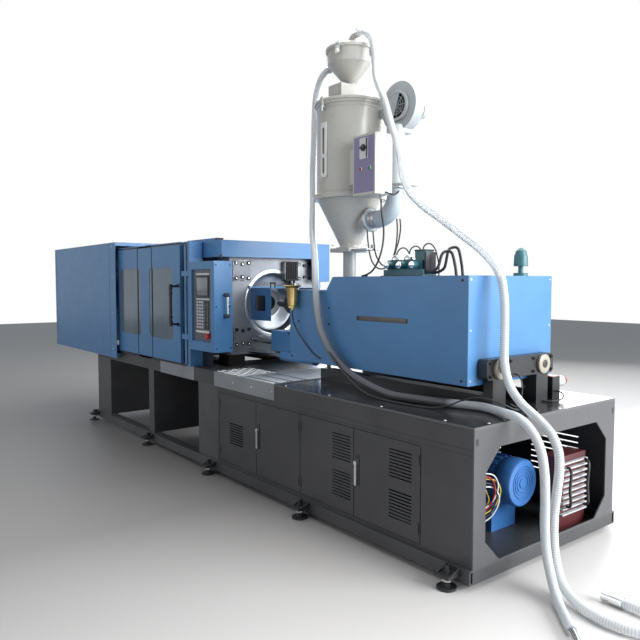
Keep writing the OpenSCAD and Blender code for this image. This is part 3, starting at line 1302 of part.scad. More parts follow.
material_route = [[951.2, 0, 2995], [930, 0, 2995], [905, 0, 2995], [835, 0, 2955], [786, 0, 2870],
  [768, 0, 2790], [758, 0, 2680],
  [750, 0, 2500], [752, -12, 2280], [803, -50, 2066], [940, -160, 1830], [1120, -280, 1647], [1245, -370, 1500],
  [1325, -425, 1360], [1352, -432, 1250], [1390, -434, 1140], [1478, -432, 1020], [1597, -430, 928],
  [1757, -428, 862], [1990, -415, 807], [2180, -388, 801], [2350, -350, 801], [2480, -310, 801],
  [2580, -290, 801],
  [2680, -320, 802], [2780, -370, 807], [2848, -380, 801], [2905, -376, 767], [2950, -370, 710],
  [2974, -362, 640],
  [2984, -352, 540], [2984, -344, 420], [2982, -340, 300], [3000, -350, 180], [3060, -395, 80],
  [3140, -470, 32],
  [3220, -550, 26], [3300, -630, 26]];
dryer_lead_route = [[1590, -95, 1990.5], [1590, -95, 1950], [1600, -98, 1890], [1625, -105, 1800],
  [1640, -125, 1700],
  [1630, -150, 1600], [1590, -165, 1530], [1530, -165, 1502], [1470, -150, 1494], [1450, -120, 1494],
  [1455, -90, 1494]];
lamp_lead_route = [[1050, -419, 1258.5], [1050, -419, 1220], [1060, -412, 1170], [1090, -400, 1110],
  [1130, -390, 1060],
  [1180, -382, 1010], [1240, -381, 970], [1310, -380, 945]];

module vacuum_hose() color("#dfe6ea") swept(curve(vacuum_route, 2), hose_d);
module material_hose() color("#b9bdc6") swept(curve(material_route, 2), hose_d);
module dryer_lead() color(black_paint) swept(curve(dryer_lead_route, 2), lead_d);
module lamp_lead() color(black_paint) swept(curve(lamp_lead_route, 3), lamp_lead_d);

// Steel suction lance on the floor with its outer air tube, and the vacuum hose's end cuff
module suction_lance() color(steel) {
  start = material_route[len(material_route) - 1];
  way = start - material_route[len(material_route) - 2];
  turn = atan2(way.y, way.x);
  lance_l = 820;
  translate(start) rotate([0, 0, turn]) translate([seat, 0, 0]) {
    difference() {
      bar_along_x(0, lance_l, 0, 0, 34);
      bar_along_x(-cut, lance_l + cut, 0, 0, 28);
    }
    difference() {
      bar_along_x(180, 800, 0, 0, 50);
      bar_along_x(220, 801, 0, 0, 44);
      bar_along_x(179, 221, 0, 0, 33);
    }
  }
  end = vacuum_route[len(vacuum_route) - 1];
  translate(end - [seat, 0, 0]) difference() {
    union() {
      bar_along_x(-60, 0, 0, 0, hose_d + 6);
      bar_along_x(-100, -60 + cut, 0, 0, hose_d - 4);
    }
    bar_along_x(-101, -8, 0, 0, hose_d - 12);
  }
}

base_frame();
cabinet_frame();
purge_tray();
levelling_feet();
fixed_platen();
rear_platen();
tie_bars();
clamp_cylinder();
rear_cover();
clamp_hood();
guard_posts();
junction_box();
bed_legs();
bar_support();
pump_motor();
oil_cooler();
contactor_panel();
lubricator();
moving_platen();
clamp_ram();
ejector_plate();
front_door();
door_windows();
back_door();
carriage_block();
barrel();
injection_cover();
dryer_base();
dryer_cone();
dryer_drum();
dryer_lid();
receiver();
receiver_lid();
blower_housing();
air_duct();
dryer_control();
valve_block();
work_lamp();
injection_crosshead();
screw();
feed_gate();
blower_impeller();
controller_knob();
start_button();
stop_button();
purge_guard();
console_housing();
console_panel();
e_stop();
cabinet_door_1();
cabinet_door_2();
cabinet_door_3();
cabinet_door_4();
latch_lever_1();
latch_lever_2();
vacuum_hose();
material_hose();
dryer_lead();
lamp_lead();
suction_lance();
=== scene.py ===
import math

import bmesh
import bpy
from mathutils import Matrix, Vector


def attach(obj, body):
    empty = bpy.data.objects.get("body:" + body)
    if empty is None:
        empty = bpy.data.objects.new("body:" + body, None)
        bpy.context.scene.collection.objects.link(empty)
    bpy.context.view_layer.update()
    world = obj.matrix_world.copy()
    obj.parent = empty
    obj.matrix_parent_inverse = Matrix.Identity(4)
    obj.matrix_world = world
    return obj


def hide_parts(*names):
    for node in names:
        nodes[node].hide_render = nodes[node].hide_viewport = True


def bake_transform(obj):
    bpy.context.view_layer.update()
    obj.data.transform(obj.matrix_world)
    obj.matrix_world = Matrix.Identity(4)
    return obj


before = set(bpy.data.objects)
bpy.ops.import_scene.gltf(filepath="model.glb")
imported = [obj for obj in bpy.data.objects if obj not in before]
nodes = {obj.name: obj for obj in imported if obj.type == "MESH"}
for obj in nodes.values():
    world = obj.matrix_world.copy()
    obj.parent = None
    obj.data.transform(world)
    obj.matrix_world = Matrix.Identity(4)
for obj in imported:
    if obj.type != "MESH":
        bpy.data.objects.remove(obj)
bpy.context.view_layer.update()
bpy.ops.object.select_all(action="DESELECT")

scene = bpy.context.scene
scene.view_settings.view_transform = "Standard"


# Camera and hall. The camera stands at eye height beyond the machine's injection end, turned
# 52 degrees, as the photographer did. The floor is smooth pale concrete and the hall is bright.
camera_data = bpy.data.cameras.new("camera")
camera_data.sensor_width = 36
camera_data.lens = 36.56
camera_data.clip_end = 60
camera = bpy.data.objects.new("camera", camera_data)
camera.location = (4.698, -3.037, 1.45)
camera.rotation_euler = (math.radians(90 - 3.3), 0, math.radians(51.9))
scene.collection.objects.link(camera)
scene.camera = camera


def add_node(tree, kind):
    return tree.nodes.new("ShaderNode" + kind)


def connect(tree, *pairs):
    for output, socket in pairs:
        tree.links.new(output, socket)


world = bpy.data.worlds.new("hall")
scene.world = world
world.use_nodes = True
world_tree = world.node_tree
sky = world_tree.nodes["Background"]
sky.inputs["Color"].default_value = (0.8, 0.87, 1.0, 1)
sky.inputs["Strength"].default_value = 0.3
bright_hall = add_node(world_tree, "Background")
bright_hall.inputs["Color"].default_value = (1, 1, 1, 1)
bright_hall.inputs["Strength"].default_value = 1.0
glossy_hall = add_node(world_tree, "Background")
glossy_hall.inputs["Color"].default_value = (0.86, 0.93, 1.0, 1)
glossy_hall.inputs["Strength"].default_value = 0.75
ray_kind = add_node(world_tree, "LightPath")
camera_mix = add_node(world_tree, "MixShader")
glossy_mix = add_node(world_tree, "MixShader")
connect(
    world_tree,
    (ray_kind.outputs["Is Glossy Ray"], glossy_mix.inputs[0]),
    (sky.outputs[0], glossy_mix.inputs[1]),
    (glossy_hall.outputs[0], glossy_mix.inputs[2]),
    (ray_kind.outputs["Is Camera Ray"], camera_mix.inputs[0]),
    (glossy_mix.outputs[0], camera_mix.inputs[1]),
    (bright_hall.outputs[0], camera_mix.inputs[2]),
    (camera_mix.outputs[0], world_tree.nodes["World Output"].inputs[0]),
)


def soft_lamp(name, place, aim, size, power, colour):
    lamp_data = bpy.data.lights.new(name, "AREA")
    lamp_data.shape = "RECTANGLE"
    lamp_data.size, lamp_data.size_y = size
    lamp_data.energy = power
    lamp_data.color = colour
    lamp = bpy.data.objects.new(name, lamp_data)
    lamp.location = place
    lamp.rotation_euler = (Vector(aim) - Vector(place)).to_track_quat("-Z", "Y").to_euler()
    scene.collection.objects.link(lamp)


soft_lamp("roof_light", (0.4, 1.6, 6.5), (0.2, 0, 1.0), (9, 6), 560, (1.0, 0.99, 0.96))
soft_lamp("window_light", (8.5, 2.5, 3.2), (1.5, 0, 1.0), (6, 4), 1000, (0.95, 0.98, 1.0))
soft_lamp("front_fill", (-1.0, -7.5, 3.2), (0.4, 0, 1.0), (9, 4), 145, (1.0, 0.98, 0.95))
soft_lamp("back_windows", (-3.1, 6.5, 3.3), (0.3, 0, 1.2), (7.8, 3.9), 560, (0.96, 0.98, 1.0))

bpy.ops.mesh.primitive_plane_add(size=40, location=(0, 0, 0))
floor = bpy.context.object
floor.name = "hall_floor"
floor_paint = bpy.data.materials.new("hall_concrete")
floor_paint.use_nodes = True
floor_tree = floor_paint.node_tree
floor_shader = floor_tree.nodes["Principled BSDF"]
floor_place = add_node(floor_tree, "TexCoord")
floor_parts = add_node(floor_tree, "SeparateXYZ")
floor_along = add_node(floor_tree, "MapRange")
# The floor's colour runs from dark at the left end to pale at the right: painted light from the windows on
# the right.
floor_painted_light = add_node(floor_tree, "ValToRGB")
floor_along.inputs["From Min"].default_value = -2.5
floor_along.inputs["From Max"].default_value = 3.8
floor_painted_light.color_ramp.elements[0].color = (0.165, 0.157, 0.15, 1)
floor_painted_light.color_ramp.elements[1].color = (0.8, 0.775, 0.755, 1)
floor_painted_light.color_ramp.elements.new(0.55).color = (0.25, 0.238, 0.23, 1)
connect(
    floor_tree,
    (floor_place.outputs["Object"], floor_parts.inputs[0]),
    (floor_parts.outputs["X"], floor_along.inputs["Value"]),
    (floor_along.outputs[0], floor_painted_light.inputs[0]),
    (floor_painted_light.outputs[0], floor_shader.inputs["Base Color"]),
)
floor_shader.inputs["Roughness"].default_value = 0.45
floor.data.materials.append(floor_paint)


# Vacuum hose and material hose. Clear ribbed 46 mm plastic hose with a spiral in the wall, laid
# over the injection cover and the deck to the floor.
# Dust darkens the middle of the material hose, between a clean top and a newer clear end.
HOSE = 0.046
DUST_FROM, DUST_FULL, CLEAR_FROM = 1.7, 2.5, 3.36


def smooth_route(points, steps):
    route = []
    last = len(points) - 1
    for i in range(last):
        a, b = Vector(points[max(i - 1, 0)]), Vector(points[i])
        c, d = Vector(points[i + 1]), Vector(points[min(i + 2, last)])
        for j in range(steps):
            t = j / steps
            route.append(0.5 * (
                2 * b + (c - a) * t + (2 * a - 5 * b + 4 * c - d) * t**2 + (3 * b - a - 3 * c + d) * t**3
            ))
    route.append(Vector(points[last]))
    return route


def resample(route, pitch):
    lengths = [0.0]
    for a, b in zip(route, route[1:]):
        lengths.append(lengths[-1] + (b - a).length)
    count = max(2, round(lengths[-1] / pitch))
    result, i = [], 0
    for k in range(count + 1):
        s = lengths[-1] * k / count
        while i < len(route) - 2 and lengths[i + 1] < s:
            i += 1
        t = (s - lengths[i]) / (lengths[i + 1] - lengths[i])
        result.append(route[i].lerp(route[i + 1], min(max(t, 0), 1)))
    return result, lengths[-1]


def hose_mesh(name, route, radii, sides, uv_length):
    mesh = bmesh.new()
    side = Vector((0, 1, 0))
    rings = []
    last = len(route) - 1
    for i, point in enumerate(route):
        way = (route[min(i + 1, last)] - route[max(i - 1, 0)]).normalized()
        side = (side - side.dot(way) * way).normalized()
        up = way.cross(side)
        r = radii[i % len(radii)]
        turns = [2 * math.pi * k / sides for k in range(sides)]
        rings.append([mesh.verts.new(point + r * (math.cos(t) * side + math.sin(t) * up)) for t in turns])
    uv_layer = mesh.loops.layers.uv.new("along")
    for i in range(last):
        for k in range(sides):
            n = (k + 1) % sides
            face = mesh.faces.new((rings[i][k], rings[i][n], rings[i + 1][n], rings[i + 1][k]))
            face.smooth = True
            for loop, (u, v) in zip(face.loops, ((k, i), (k + 1, i), (k + 1, i + 1), (k, i + 1))):
                loop[uv_layer].uv = (u / sides, v / last * uv_length)
    mesh.faces.new(list(reversed(rings[0])))
    mesh.faces.new(rings[-1])
    data = bpy.data.meshes.new(name)
    mesh.to_mesh(data)
    mesh.free()
    hose = bpy.data.objects.new(name, data)
    scene.collection.objects.link(hose)
    return hose


def dusty_middle(tree, place, ramp, shader, clean):
    parts = add_node(tree, "SeparateXYZ")
    dust = add_node(tree, "MapRange")
    dust.inputs["From Min"].default_value = DUST_FROM
    dust.inputs["From Max"].default_value = DUST_FULL
    fresh = add_node(tree, "MapRange")
    fresh.inputs["From Min"].default_value = CLEAR_FROM - 0.02
    fresh.inputs["From Max"].default_value = CLEAR_FROM + 0.05
    renewed = add_node(tree, "Mix")
    renewed.data_type = "RGBA"
    dusty = add_node(tree, "Mix")
    dusty.data_type = "RGBA"
    dusty.inputs[6].default_value = (*clean, 1)
    renewed.inputs[7].default_value = (*clean, 1)
    connect(
        tree,
        (place.outputs[0], parts.inputs[0]),
        (parts.outputs["Y"], dust.inputs["Value"]),
        (dust.outputs[0], dusty.inputs[0]),
        (ramp.outputs[0], dusty.inputs[7]),
        (parts.outputs["Y"], fresh.inputs["Value"]),
        (fresh.outputs[0], renewed.inputs[0]),
        (dusty.outputs[2], renewed.inputs[6]),
        (renewed.outputs[2], shader.inputs["Base Color"]),
    )


def hose_plastic(name, colour, spiral, rough, see_through, clean=None):
    plastic = bpy.data.materials.new(name)
    plastic.use_nodes = True
    tree = plastic.node_tree
    shader = tree.nodes["Principled BSDF"]
    place = add_node(tree, "UVMap")
    place.uv_map = "along"
    wave = add_node(tree, "TexWave")
    wave.bands_direction = "Y"
    wave.inputs["Scale"].default_value = 26
    wave.inputs["Distortion"].default_value = 0
    ramp = add_node(tree, "ValToRGB")
    ramp.color_ramp.elements[0].position = 0.3
    ramp.color_ramp.elements[0].color = (*spiral, 1)
    ramp.color_ramp.elements[1].position = 0.62
    ramp.color_ramp.elements[1].color = (*colour, 1)
    connect(
        tree,
        (place.outputs[0], wave.inputs["Vector"]),
        (wave.outputs["Fac"], ramp.inputs[0]),
        (ramp.outputs[0], shader.inputs["Base Color"]),
    )
    if clean:
        dusty_middle(tree, place, ramp, shader, clean)
    shader.inputs["Roughness"].default_value = rough
    shader.inputs["Transmission Weight"].default_value = see_through
    shader.inputs["IOR"].default_value = 1.35
    return plastic


vacuum_points = [
    (1.2408, 0, 3.16), (1.265, 0, 3.16), (1.29, 0, 3.16), (1.352, -0.002, 3.13), (1.401, -0.006, 3.072),
    (1.432, -0.016, 2.975), (1.48, -0.04, 2.8), (1.6, -0.08, 2.625), (1.74, -0.155, 2.43),
    (1.85, -0.215, 2.3), (1.925, -0.255, 2.18), (1.955, -0.262, 2.07), (2.003, -0.255, 1.978),
    (2.095, -0.248, 1.893), (2.222, -0.24, 1.811), (2.366, -0.23, 1.714), (2.51, -0.215, 1.608),
    (2.6, -0.203, 1.5), (2.634, -0.204, 1.365), (2.642, -0.208, 1.205), (2.65, -0.216, 1.04),
    (2.69, -0.222, 0.92), (2.75, -0.221, 0.848), (2.805, -0.221, 0.808), (2.868, -0.223, 0.77),
    (2.935, -0.226, 0.715), (2.978, -0.232, 0.64), (2.99, -0.24, 0.55), (2.984, -0.248, 0.44),
    (2.978, -0.258, 0.32), (2.992, -0.275, 0.2), (3.04, -0.315, 0.1), (3.12, -0.37, 0.045),
    (3.23, -0.425, 0.026), (3.35, -0.45, 0.026), (3.47, -0.43, 0.026), (3.55, -0.35, 0.026),
    (3.54, -0.265, 0.026), (3.47, -0.24, 0.026), (3.39, -0.24, 0.026), (3.32, -0.24, 0.026),
]
material_points = [
    (0.9512, 0, 2.995), (0.93, 0, 2.995), (0.905, 0, 2.995), (0.835, 0, 2.955), (0.786, 0, 2.87),
    (0.768, 0, 2.79), (0.758, 0, 2.68), (0.75, 0, 2.5), (0.752, -0.012, 2.28), (0.803, -0.05, 2.066),
    (0.94, -0.16, 1.83), (1.12, -0.28, 1.647), (1.245, -0.37, 1.5), (1.325, -0.425, 1.36),
    (1.352, -0.432, 1.25), (1.39, -0.434, 1.14), (1.478, -0.432, 1.02), (1.597, -0.43, 0.928),
    (1.757, -0.428, 0.862), (1.99, -0.415, 0.807), (2.18, -0.388, 0.801), (2.35, -0.35, 0.801),
    (2.48, -0.31, 0.801), (2.58, -0.29, 0.801), (2.68, -0.32, 0.802), (2.78, -0.37, 0.807),
    (2.848, -0.38, 0.801), (2.905, -0.376, 0.767), (2.95, -0.37, 0.71), (2.974, -0.362, 0.64),
    (2.984, -0.352, 0.54), (2.984, -0.344, 0.42), (2.982, -0.34, 0.3), (3, -0.35, 0.18),
    (3.06, -0.395, 0.08), (3.14, -0.47, 0.032), (3.22, -0.55, 0.026), (3.3, -0.63, 0.026),
]
clear_hose = hose_plastic("clear_hose", (0.84, 0.86, 0.87), (0.66, 0.69, 0.71), 0.2, 0.3)
smoky_hose = hose_plastic(
    "smoky_hose", (0.16, 0.165, 0.18), (0.09, 0.092, 0.105), 0.22, 0.15, (0.62, 0.65, 0.68),
)
for hose_name, points, plastic, blend_from, blend_to in (
    ("vacuum_hose_skin", vacuum_points, clear_hose, (2.4, -0.23, 1.7), (3.3, -0.43, 0.03)),
    ("material_hose_skin", material_points, smoky_hose, (1.35, -0.43, 1.2), (2.9, -0.38, 0.76)),
):
    route, hose_length = resample(smooth_route(points, 12), 0.006)
    r = HOSE / 2
    hose = hose_mesh(hose_name, route, (r, r - 0.0006), 16, hose_length)
    hose.data.materials.append(plastic)
    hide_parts(hose_name.replace("_skin", ""))
    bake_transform(hose)


# Dryer lead and lamp lead. Black round rubber leads, from the control box down to the cover, and
# from the lamp down along the cover's front.
rubber = bpy.data.materials.new("lead_rubber")
rubber.use_nodes = True
rubber_tree = rubber.node_tree
rubber_shader = rubber_tree.nodes["Principled BSDF"]
rubber_noise = add_node(rubber_tree, "TexNoise")
rubber_place = add_node(rubber_tree, "TexCoord")
rubber_ramp = add_node(rubber_tree, "ValToRGB")
rubber_noise.inputs["Scale"].default_value = 60
rubber_ramp.color_ramp.elements[0].color = (0.01, 0.01, 0.011, 1)
rubber_ramp.color_ramp.elements[1].color = (0.026, 0.026, 0.028, 1)
connect(
    rubber_tree,
    (rubber_place.outputs["Object"], rubber_noise.inputs["Vector"]),
    (rubber_noise.outputs["Fac"], rubber_ramp.inputs[0]),
    (rubber_ramp.outputs[0], rubber_shader.inputs["Base Color"]),
)
rubber_shader.inputs["Roughness"].default_value = 0.5

dryer_lead_points = [
    (1.59, -0.095, 1.9905), (1.59, -0.095, 1.95), (1.6, -0.098, 1.89), (1.625, -0.105, 1.8),
    (1.64, -0.125, 1.7), (1.63, -0.15, 1.6), (1.59, -0.165, 1.53), (1.53, -0.165, 1.502),
    (1.47, -0.15, 1.494), (1.45, -0.12, 1.494), (1.455, -0.09, 1.494),
]
lamp_lead_points = [
    (1.05, -0.419, 1.2585), (1.05, -0.419, 1.22), (1.06, -0.412, 1.17), (1.09, -0.4, 1.11),
    (1.13, -0.39, 1.06), (1.18, -0.382, 1.01), (1.24, -0.381, 0.97), (1.31, -0.38, 0.945),
]
for lead_name, points, lead_d in (
    ("dryer_lead_skin", dryer_lead_points, 0.012),
    ("lamp_lead_skin", lamp_lead_points, 0.009),
):
    route, lead_length = resample(smooth_route(points, 12), 0.008)
    lead_skin = hose_mesh(lead_name, route, (lead_d / 2,), 12, lead_length)
    lead_skin.data.materials.append(rubber)
    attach(lead_skin, "carriage")
    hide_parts(lead_name.replace("_skin", ""))


# Bed and cabinet. Welded steel, painted dark graphite, with a bright stretch of fascia under the
# guard door and a paler end plate. The paint has fine peel, and the folded edges are rounded.
# A material's zones are boxes, in metres, that take a colour of their own.
def box_mask(tree, parts, low, high):
    inside = None
    for axis in range(3):
        test = add_node(tree, "Math")
        test.operation = "COMPARE"
        tree.links.new(parts.outputs[axis], test.inputs[0])
        test.inputs[1].default_value = (low[axis] + high[axis]) / 2
        test.inputs[2].default_value = (high[axis] - low[axis]) / 2
        if inside:
            both = add_node(tree, "Math")
            both.operation = "MULTIPLY"
            connect(tree, (inside, both.inputs[0]), (test.outputs[0], both.inputs[1]))
            inside = both.outputs[0]
        else:
            inside = test.outputs[0]
    return inside


def painted(name, colour, rough=0.35, spread=0.1, peel=0.04, edge=0.0015, metal=0.0, zones=()):
    paint = bpy.data.materials.new(name)
    paint.use_nodes = True
    tree = paint.node_tree
    shader = tree.nodes["Principled BSDF"]
    place = add_node(tree, "TexCoord")

    def noise(scale, detail):
        cloud = add_node(tree, "TexNoise")
        cloud.inputs["Scale"].default_value = scale
        cloud.inputs["Detail"].default_value = detail
        tree.links.new(place.outputs["Object"], cloud.inputs["Vector"])
        return cloud.outputs["Fac"]

    tone = add_node(tree, "ValToRGB")
    tone.color_ramp.elements[0].position = 0.35
    tone.color_ramp.elements[0].color = (*[c * (1 - spread) for c in colour], 1)
    tone.color_ramp.elements[1].position = 0.65
    tone.color_ramp.elements[1].color = (*[min(c * (1 + spread), 1) for c in colour], 1)
    tree.links.new(noise(4, 4), tone.inputs[0])
    surface = tone.outputs[0]
    if zones:
        parts = add_node(tree, "SeparateXYZ")
        tree.links.new(place.outputs["Object"], parts.inputs[0])
    for low, high, zone_colour in zones:
        inside = box_mask(tree, parts, low, high)
        mix = add_node(tree, "Mix")
        mix.data_type = "RGBA"
        connect(tree, (inside, mix.inputs[0]), (surface, mix.inputs[6]))
        mix.inputs[7].default_value = (*zone_colour, 1)
        surface = mix.outputs[2]
    tree.links.new(surface, shader.inputs["Base Color"])
    shine = add_node(tree, "MapRange")
    shine.inputs["To Min"].default_value = rough - 0.06
    shine.inputs["To Max"].default_value = rough + 0.1
    tree.links.new(noise(18, 5), shine.inputs["Value"])
    tree.links.new(shine.outputs[0], shader.inputs["Roughness"])
    rounding = add_node(tree, "Bevel")
    rounding.samples = 4
    rounding.inputs["Radius"].default_value = edge
    bumps = add_node(tree, "Bump")
    bumps.inputs["Strength"].default_value = peel
    bumps.inputs["Distance"].default_value = 0.002
    tree.links.new(noise(420, 2), bumps.inputs["Height"])
    tree.links.new(rounding.outputs[0], bumps.inputs["Normal"])
    tree.links.new(bumps.outputs[0], shader.inputs["Normal"])
    shader.inputs["Metallic"].default_value = metal
    return paint


def bare_metal(name, colour, rough, streak=(30, 30, 30), spread=0.08, edge=0.0015, peel=0.05, zones=()):
    metal = painted(name, colour, rough, spread, peel, edge, 1.0, zones)
    tree = metal.node_tree
    place = next(n for n in tree.nodes if n.type == "TEX_COORD")
    stretch = add_node(tree, "Mapping")
    stretch.inputs["Scale"].default_value = streak
    tree.links.new(place.outputs["Object"], stretch.inputs["Vector"])
    cloud = [n for n in tree.nodes if n.type == "TEX_NOISE"][1]
    cloud.inputs["Scale"].default_value = 1
    tree.links.new(stretch.outputs[0], cloud.inputs["Vector"])
    return metal


def set_input(material, socket, value):
    material.node_tree.nodes["Principled BSDF"].inputs[socket].default_value = value


def dress(node, material):
    data = nodes[node].data
    data.materials.clear()
    data.materials.append(material)


def pick(*pieces):
    bpy.ops.object.select_all(action="DESELECT")
    for piece in pieces:
        piece.select_set(True)
    bpy.context.view_layer.objects.active = pieces[0]


def round_edges(piece, width, steps=2):
    pick(piece)
    if width:
        fillet = piece.modifiers.new("fillet", "BEVEL")
        fillet.width = width
        fillet.segments = steps
        fillet.limit_method = "ANGLE"
        fillet.angle_limit = math.radians(35)
        bpy.ops.object.modifier_apply(modifier="fillet")
    bpy.ops.object.shade_smooth_by_angle(angle=math.radians(40))
    return piece


def primitive(add, name, **settings):
    bpy.ops.object.select_all(action="DESELECT")
    add(**settings)
    piece = bpy.context.object
    piece.name = name
    bpy.ops.object.transform_apply()
    return piece


def plate(name, low, high, edge=0.002, steps=2):
    middle = [(a + b) / 2 for a, b in zip(low, high)]
    size = [b - a for a, b in zip(low, high)]
    piece = primitive(bpy.ops.mesh.primitive_cube_add, name, size=1, location=middle, scale=size)
    piece.data.name = name
    return round_edges(piece, edge, steps)


def turned(name, centre, axis, profile, sides=32, ring=False, edge=0):
    way = "xyz".index(axis)
    points = []
    for radius, along in profile:
        point = list(centre)
        point[way] += along
        point[(way + 1) % 3] += radius
        points.append(point)
    edges = [(i, i + 1) for i in range(len(points) - 1)] + ([(len(points) - 1, 0)] if ring else [])
    data = bpy.data.meshes.new(name)
    data.from_pydata(points, edges, [])
    piece = bpy.data.objects.new(name, data)
    scene.collection.objects.link(piece)
    pick(piece)
    bpy.ops.object.mode_set(mode="EDIT")
    bpy.ops.mesh.select_all(action="SELECT")
    turn_axis = [float(i == way) for i in range(3)]
    bpy.ops.mesh.spin(steps=sides, angle=2 * math.pi, center=centre, axis=turn_axis)
    bpy.ops.mesh.select_all(action="SELECT")
    bpy.ops.mesh.remove_doubles(threshold=0.00002)
    bpy.ops.mesh.normals_make_consistent(inside=False)
    bpy.ops.object.mode_set(mode="OBJECT")
    return round_edges(piece, edge)


def square_ring(inner, outer, low, high):
    return [(inner, low), (outer, low), (outer, high), (inner, high)]


def grid(xs, ys, zs):
    return [(x, y, z) for x in xs for y in ys for z in zs]


def welded(name, pieces):
    pick(*pieces)
    if len(pieces) > 1:
        bpy.ops.object.join()
    pieces[0].name = pieces[0].data.name = name
    return pieces[0]


def set_out(piece, moves):
    name = piece.name
    copies = []
    for move in moves:
        copy = piece.copy()
        copy.data = piece.data.copy()
        copy.data.transform(move if isinstance(move, Matrix) else Matrix.Translation(move))
        scene.collection.objects.link(copy)
        copies.append(copy)
    bpy.data.objects.remove(piece)
    return welded(name, copies)


def fit(piece, body, material):
    piece.data.materials.clear()
    piece.data.materials.append(material)
    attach(piece, body)
    return piece


def pan_screw(name, place, axis, flange, crown, height, slot, top, floor, deep):
    profile = [(0, 0), (flange, 0), (crown, height), (slot, top), (floor, deep), (0, deep)]
    return turned(name, place, axis, profile, 12)


def socket_screw(name, place, axis, size, height, way=1):
    r = size / 2
    profile = [
        (0, 0), (r, 0), (r, height * 0.86), (r * 0.9, height), (r * 0.52, height),
        (r * 0.46, height * 0.45), (0, height * 0.4),
    ]
    return turned(name, place, axis, [(a, b * way) for a, b in profile], 14)


DECK = 0.776
SEAM_FRONT, SEAM_BACK = (-0.6409, -0.6394), (0.6394, 0.6409)
LIGHT_SHEET = (0.6, 0.61, 0.64)
GRAPHITE = (0.05, 0.05, 0.053)
graphite = painted(
    "graphite_paint", GRAPHITE, 0.4, 0.12,
    zones=(((-0.62, -0.66, 0.66), (0.01, -0.63, 0.7755), LIGHT_SHEET),),
)
dress("base_frame", graphite)
dress("bed_legs", painted("leg_paint", (0.07, 0.07, 0.072), 0.4, 0.12))
cabinet_paint = painted("cabinet_paint", GRAPHITE, 0.38, 0.12, zones=(
    ((0.37, -0.645, 0.7635), (2.801, 0.645, 0.778), (0.1, 0.1, 0.105)),
    ((2.7915, -0.65, 0.095), (2.81, 0.65, 0.7635), (0.075, 0.075, 0.079)),
))
dress("cabinet_frame", cabinet_paint)
for i in (1, 2, 3, 4):
    dress(f"cabinet_door_{i}", cabinet_paint)
foot_black = painted("foot_black", (0.02, 0.02, 0.022), 0.45)
dress("levelling_feet", foot_black)

zinc = bare_metal("zinc_plate", (0.55, 0.55, 0.53), 0.34, (90, 90, 90), 0.1)
foot_nut = turned("foot_nuts", (0, 0, 0), "z", [
    (0, 0.034), (0.021, 0.034), (0.024, 0.037), (0.024, 0.049), (0.021, 0.052), (0.01, 0.052), (0.01, 0.08),
    (0, 0.082),
], 6)
foot_nuts = set_out(foot_nut, grid((-2.15, -0.775, 0.35, 1.5225, 2.7), (-0.7065, 0.7065), (0,)))
fit(foot_nuts, "base", zinc)


def sheet_seam(x0, x1, y_range, z):
    return plate("seam", (x0, y_range[0], z), (x1, y_range[1], z + 0.0022), 0)


seams = [sheet_seam(0.372, 2.798, SEAM_FRONT, z) for z in (0.6395, 0.666, 0.763)]
seams.append(plate("seam", (-2.198, SEAM_FRONT[0], 0.763), (-0.64, SEAM_FRONT[1], 0.765), 0))
fit(welded("fascia_seams", seams), "base", foot_black)
back_seams = [sheet_seam(-2.198, 2.798, SEAM_BACK, z) for z in (0.666, 0.763)]
fit(welded("back_fascia_seams", back_seams), "base", foot_black)

for i, leaf_x in ((2, 0.95475), (4, 1.98225)):
    lock = plate(
        f"lock_plate_{i}", (leaf_x - 0.014, -0.6445, 0.392), (leaf_x + 0.014, -0.6398, 0.478), 0.003, 3,
    )
    cylinder = turned(
        "c", (leaf_x, -0.6445, 0.466), "y", [(0, -0.003), (0.006, -0.003), (0.007, 0), (0, 0.001)], 20,
    )
    fit(welded(f"lock_plate_{i}", [lock, cylinder]), f"cabinet_door_{i}", foot_black)

for i, leaf_x in ((1, 0.41), (2, 0.92375), (3, 1.4375), (4, 1.95125)):
    hinge_x = leaf_x + 0.008 if i in (1, 3) else leaf_x + 0.5
    knuckle = turned(
        "k", (hinge_x, -0.6425, 0), "z",
        [(0, 0), (0.0045, 0), (0.005, 0.002), (0.005, 0.056), (0.0045, 0.058), (0, 0.058)], 14,
    )
    knuckles = set_out(knuckle, [(0, 0, 0.165), (0, 0, 0.52)])
    knuckles.name = f"hinge_knuckles_{i}"
    fit(knuckles, "base", cabinet_paint)

# Deck fittings. The tread tray is pressed bright sheet, with raised lozenges on its left part, a
# flat inner tray and cross ribs on its right. A dark gloss sheet lies on the deck, a cream knob
# stands on the bed, and small pan screws hold the deck and the drop bay's apron.
LOZENGE_Z = 0.781
tread_sheet = bare_metal("tread_sheet", (0.4, 0.41, 0.43), 0.3, (14, 14, 14), 0.07)
tread_bright = bare_metal("tread_bright", (0.8, 0.81, 0.83), 0.36, (14, 14, 14), 0.07)
dress("purge_tray", tread_sheet)
lozenge = primitive(
    bpy.ops.mesh.primitive_cylinder_add, "tread_lozenges",
    vertices=8, radius=0.0205, depth=0.005, location=(0, 0, LOZENGE_Z),
)
lozenge.data.transform(Matrix.Diagonal((1, 0.3, 1, 1)))
for corner in lozenge.data.vertices:
    if corner.co.z > LOZENGE_Z:
        corner.co.x *= 0.72
        corner.co.y *= 0.6
moves = []
for row in range(7):
    for column in range(8):
        turn = Matrix.Rotation(math.radians(45 if (row + column) % 2 else -45), 4, "Z")
        moves.append(Matrix.Translation((0.366 + column * 0.0465, -0.618 + row * 0.0455, 0)) @ turn)
fit(set_out(lozenge, moves), "base", tread_bright)
deck_sheet = plate("deck_sheet", (1.153, -0.6365, 0.7761), (2.7965, 0.6365, 0.7769), 0)
fit(deck_sheet, "base", painted("deck_gloss", (0.02, 0.019, 0.02), 0.17, 0.1, 0.03))
inner_tray = plate("inner_tray", (0.24, -0.318, 0.7765), (1.132, 0.2, 0.779), 0.001)
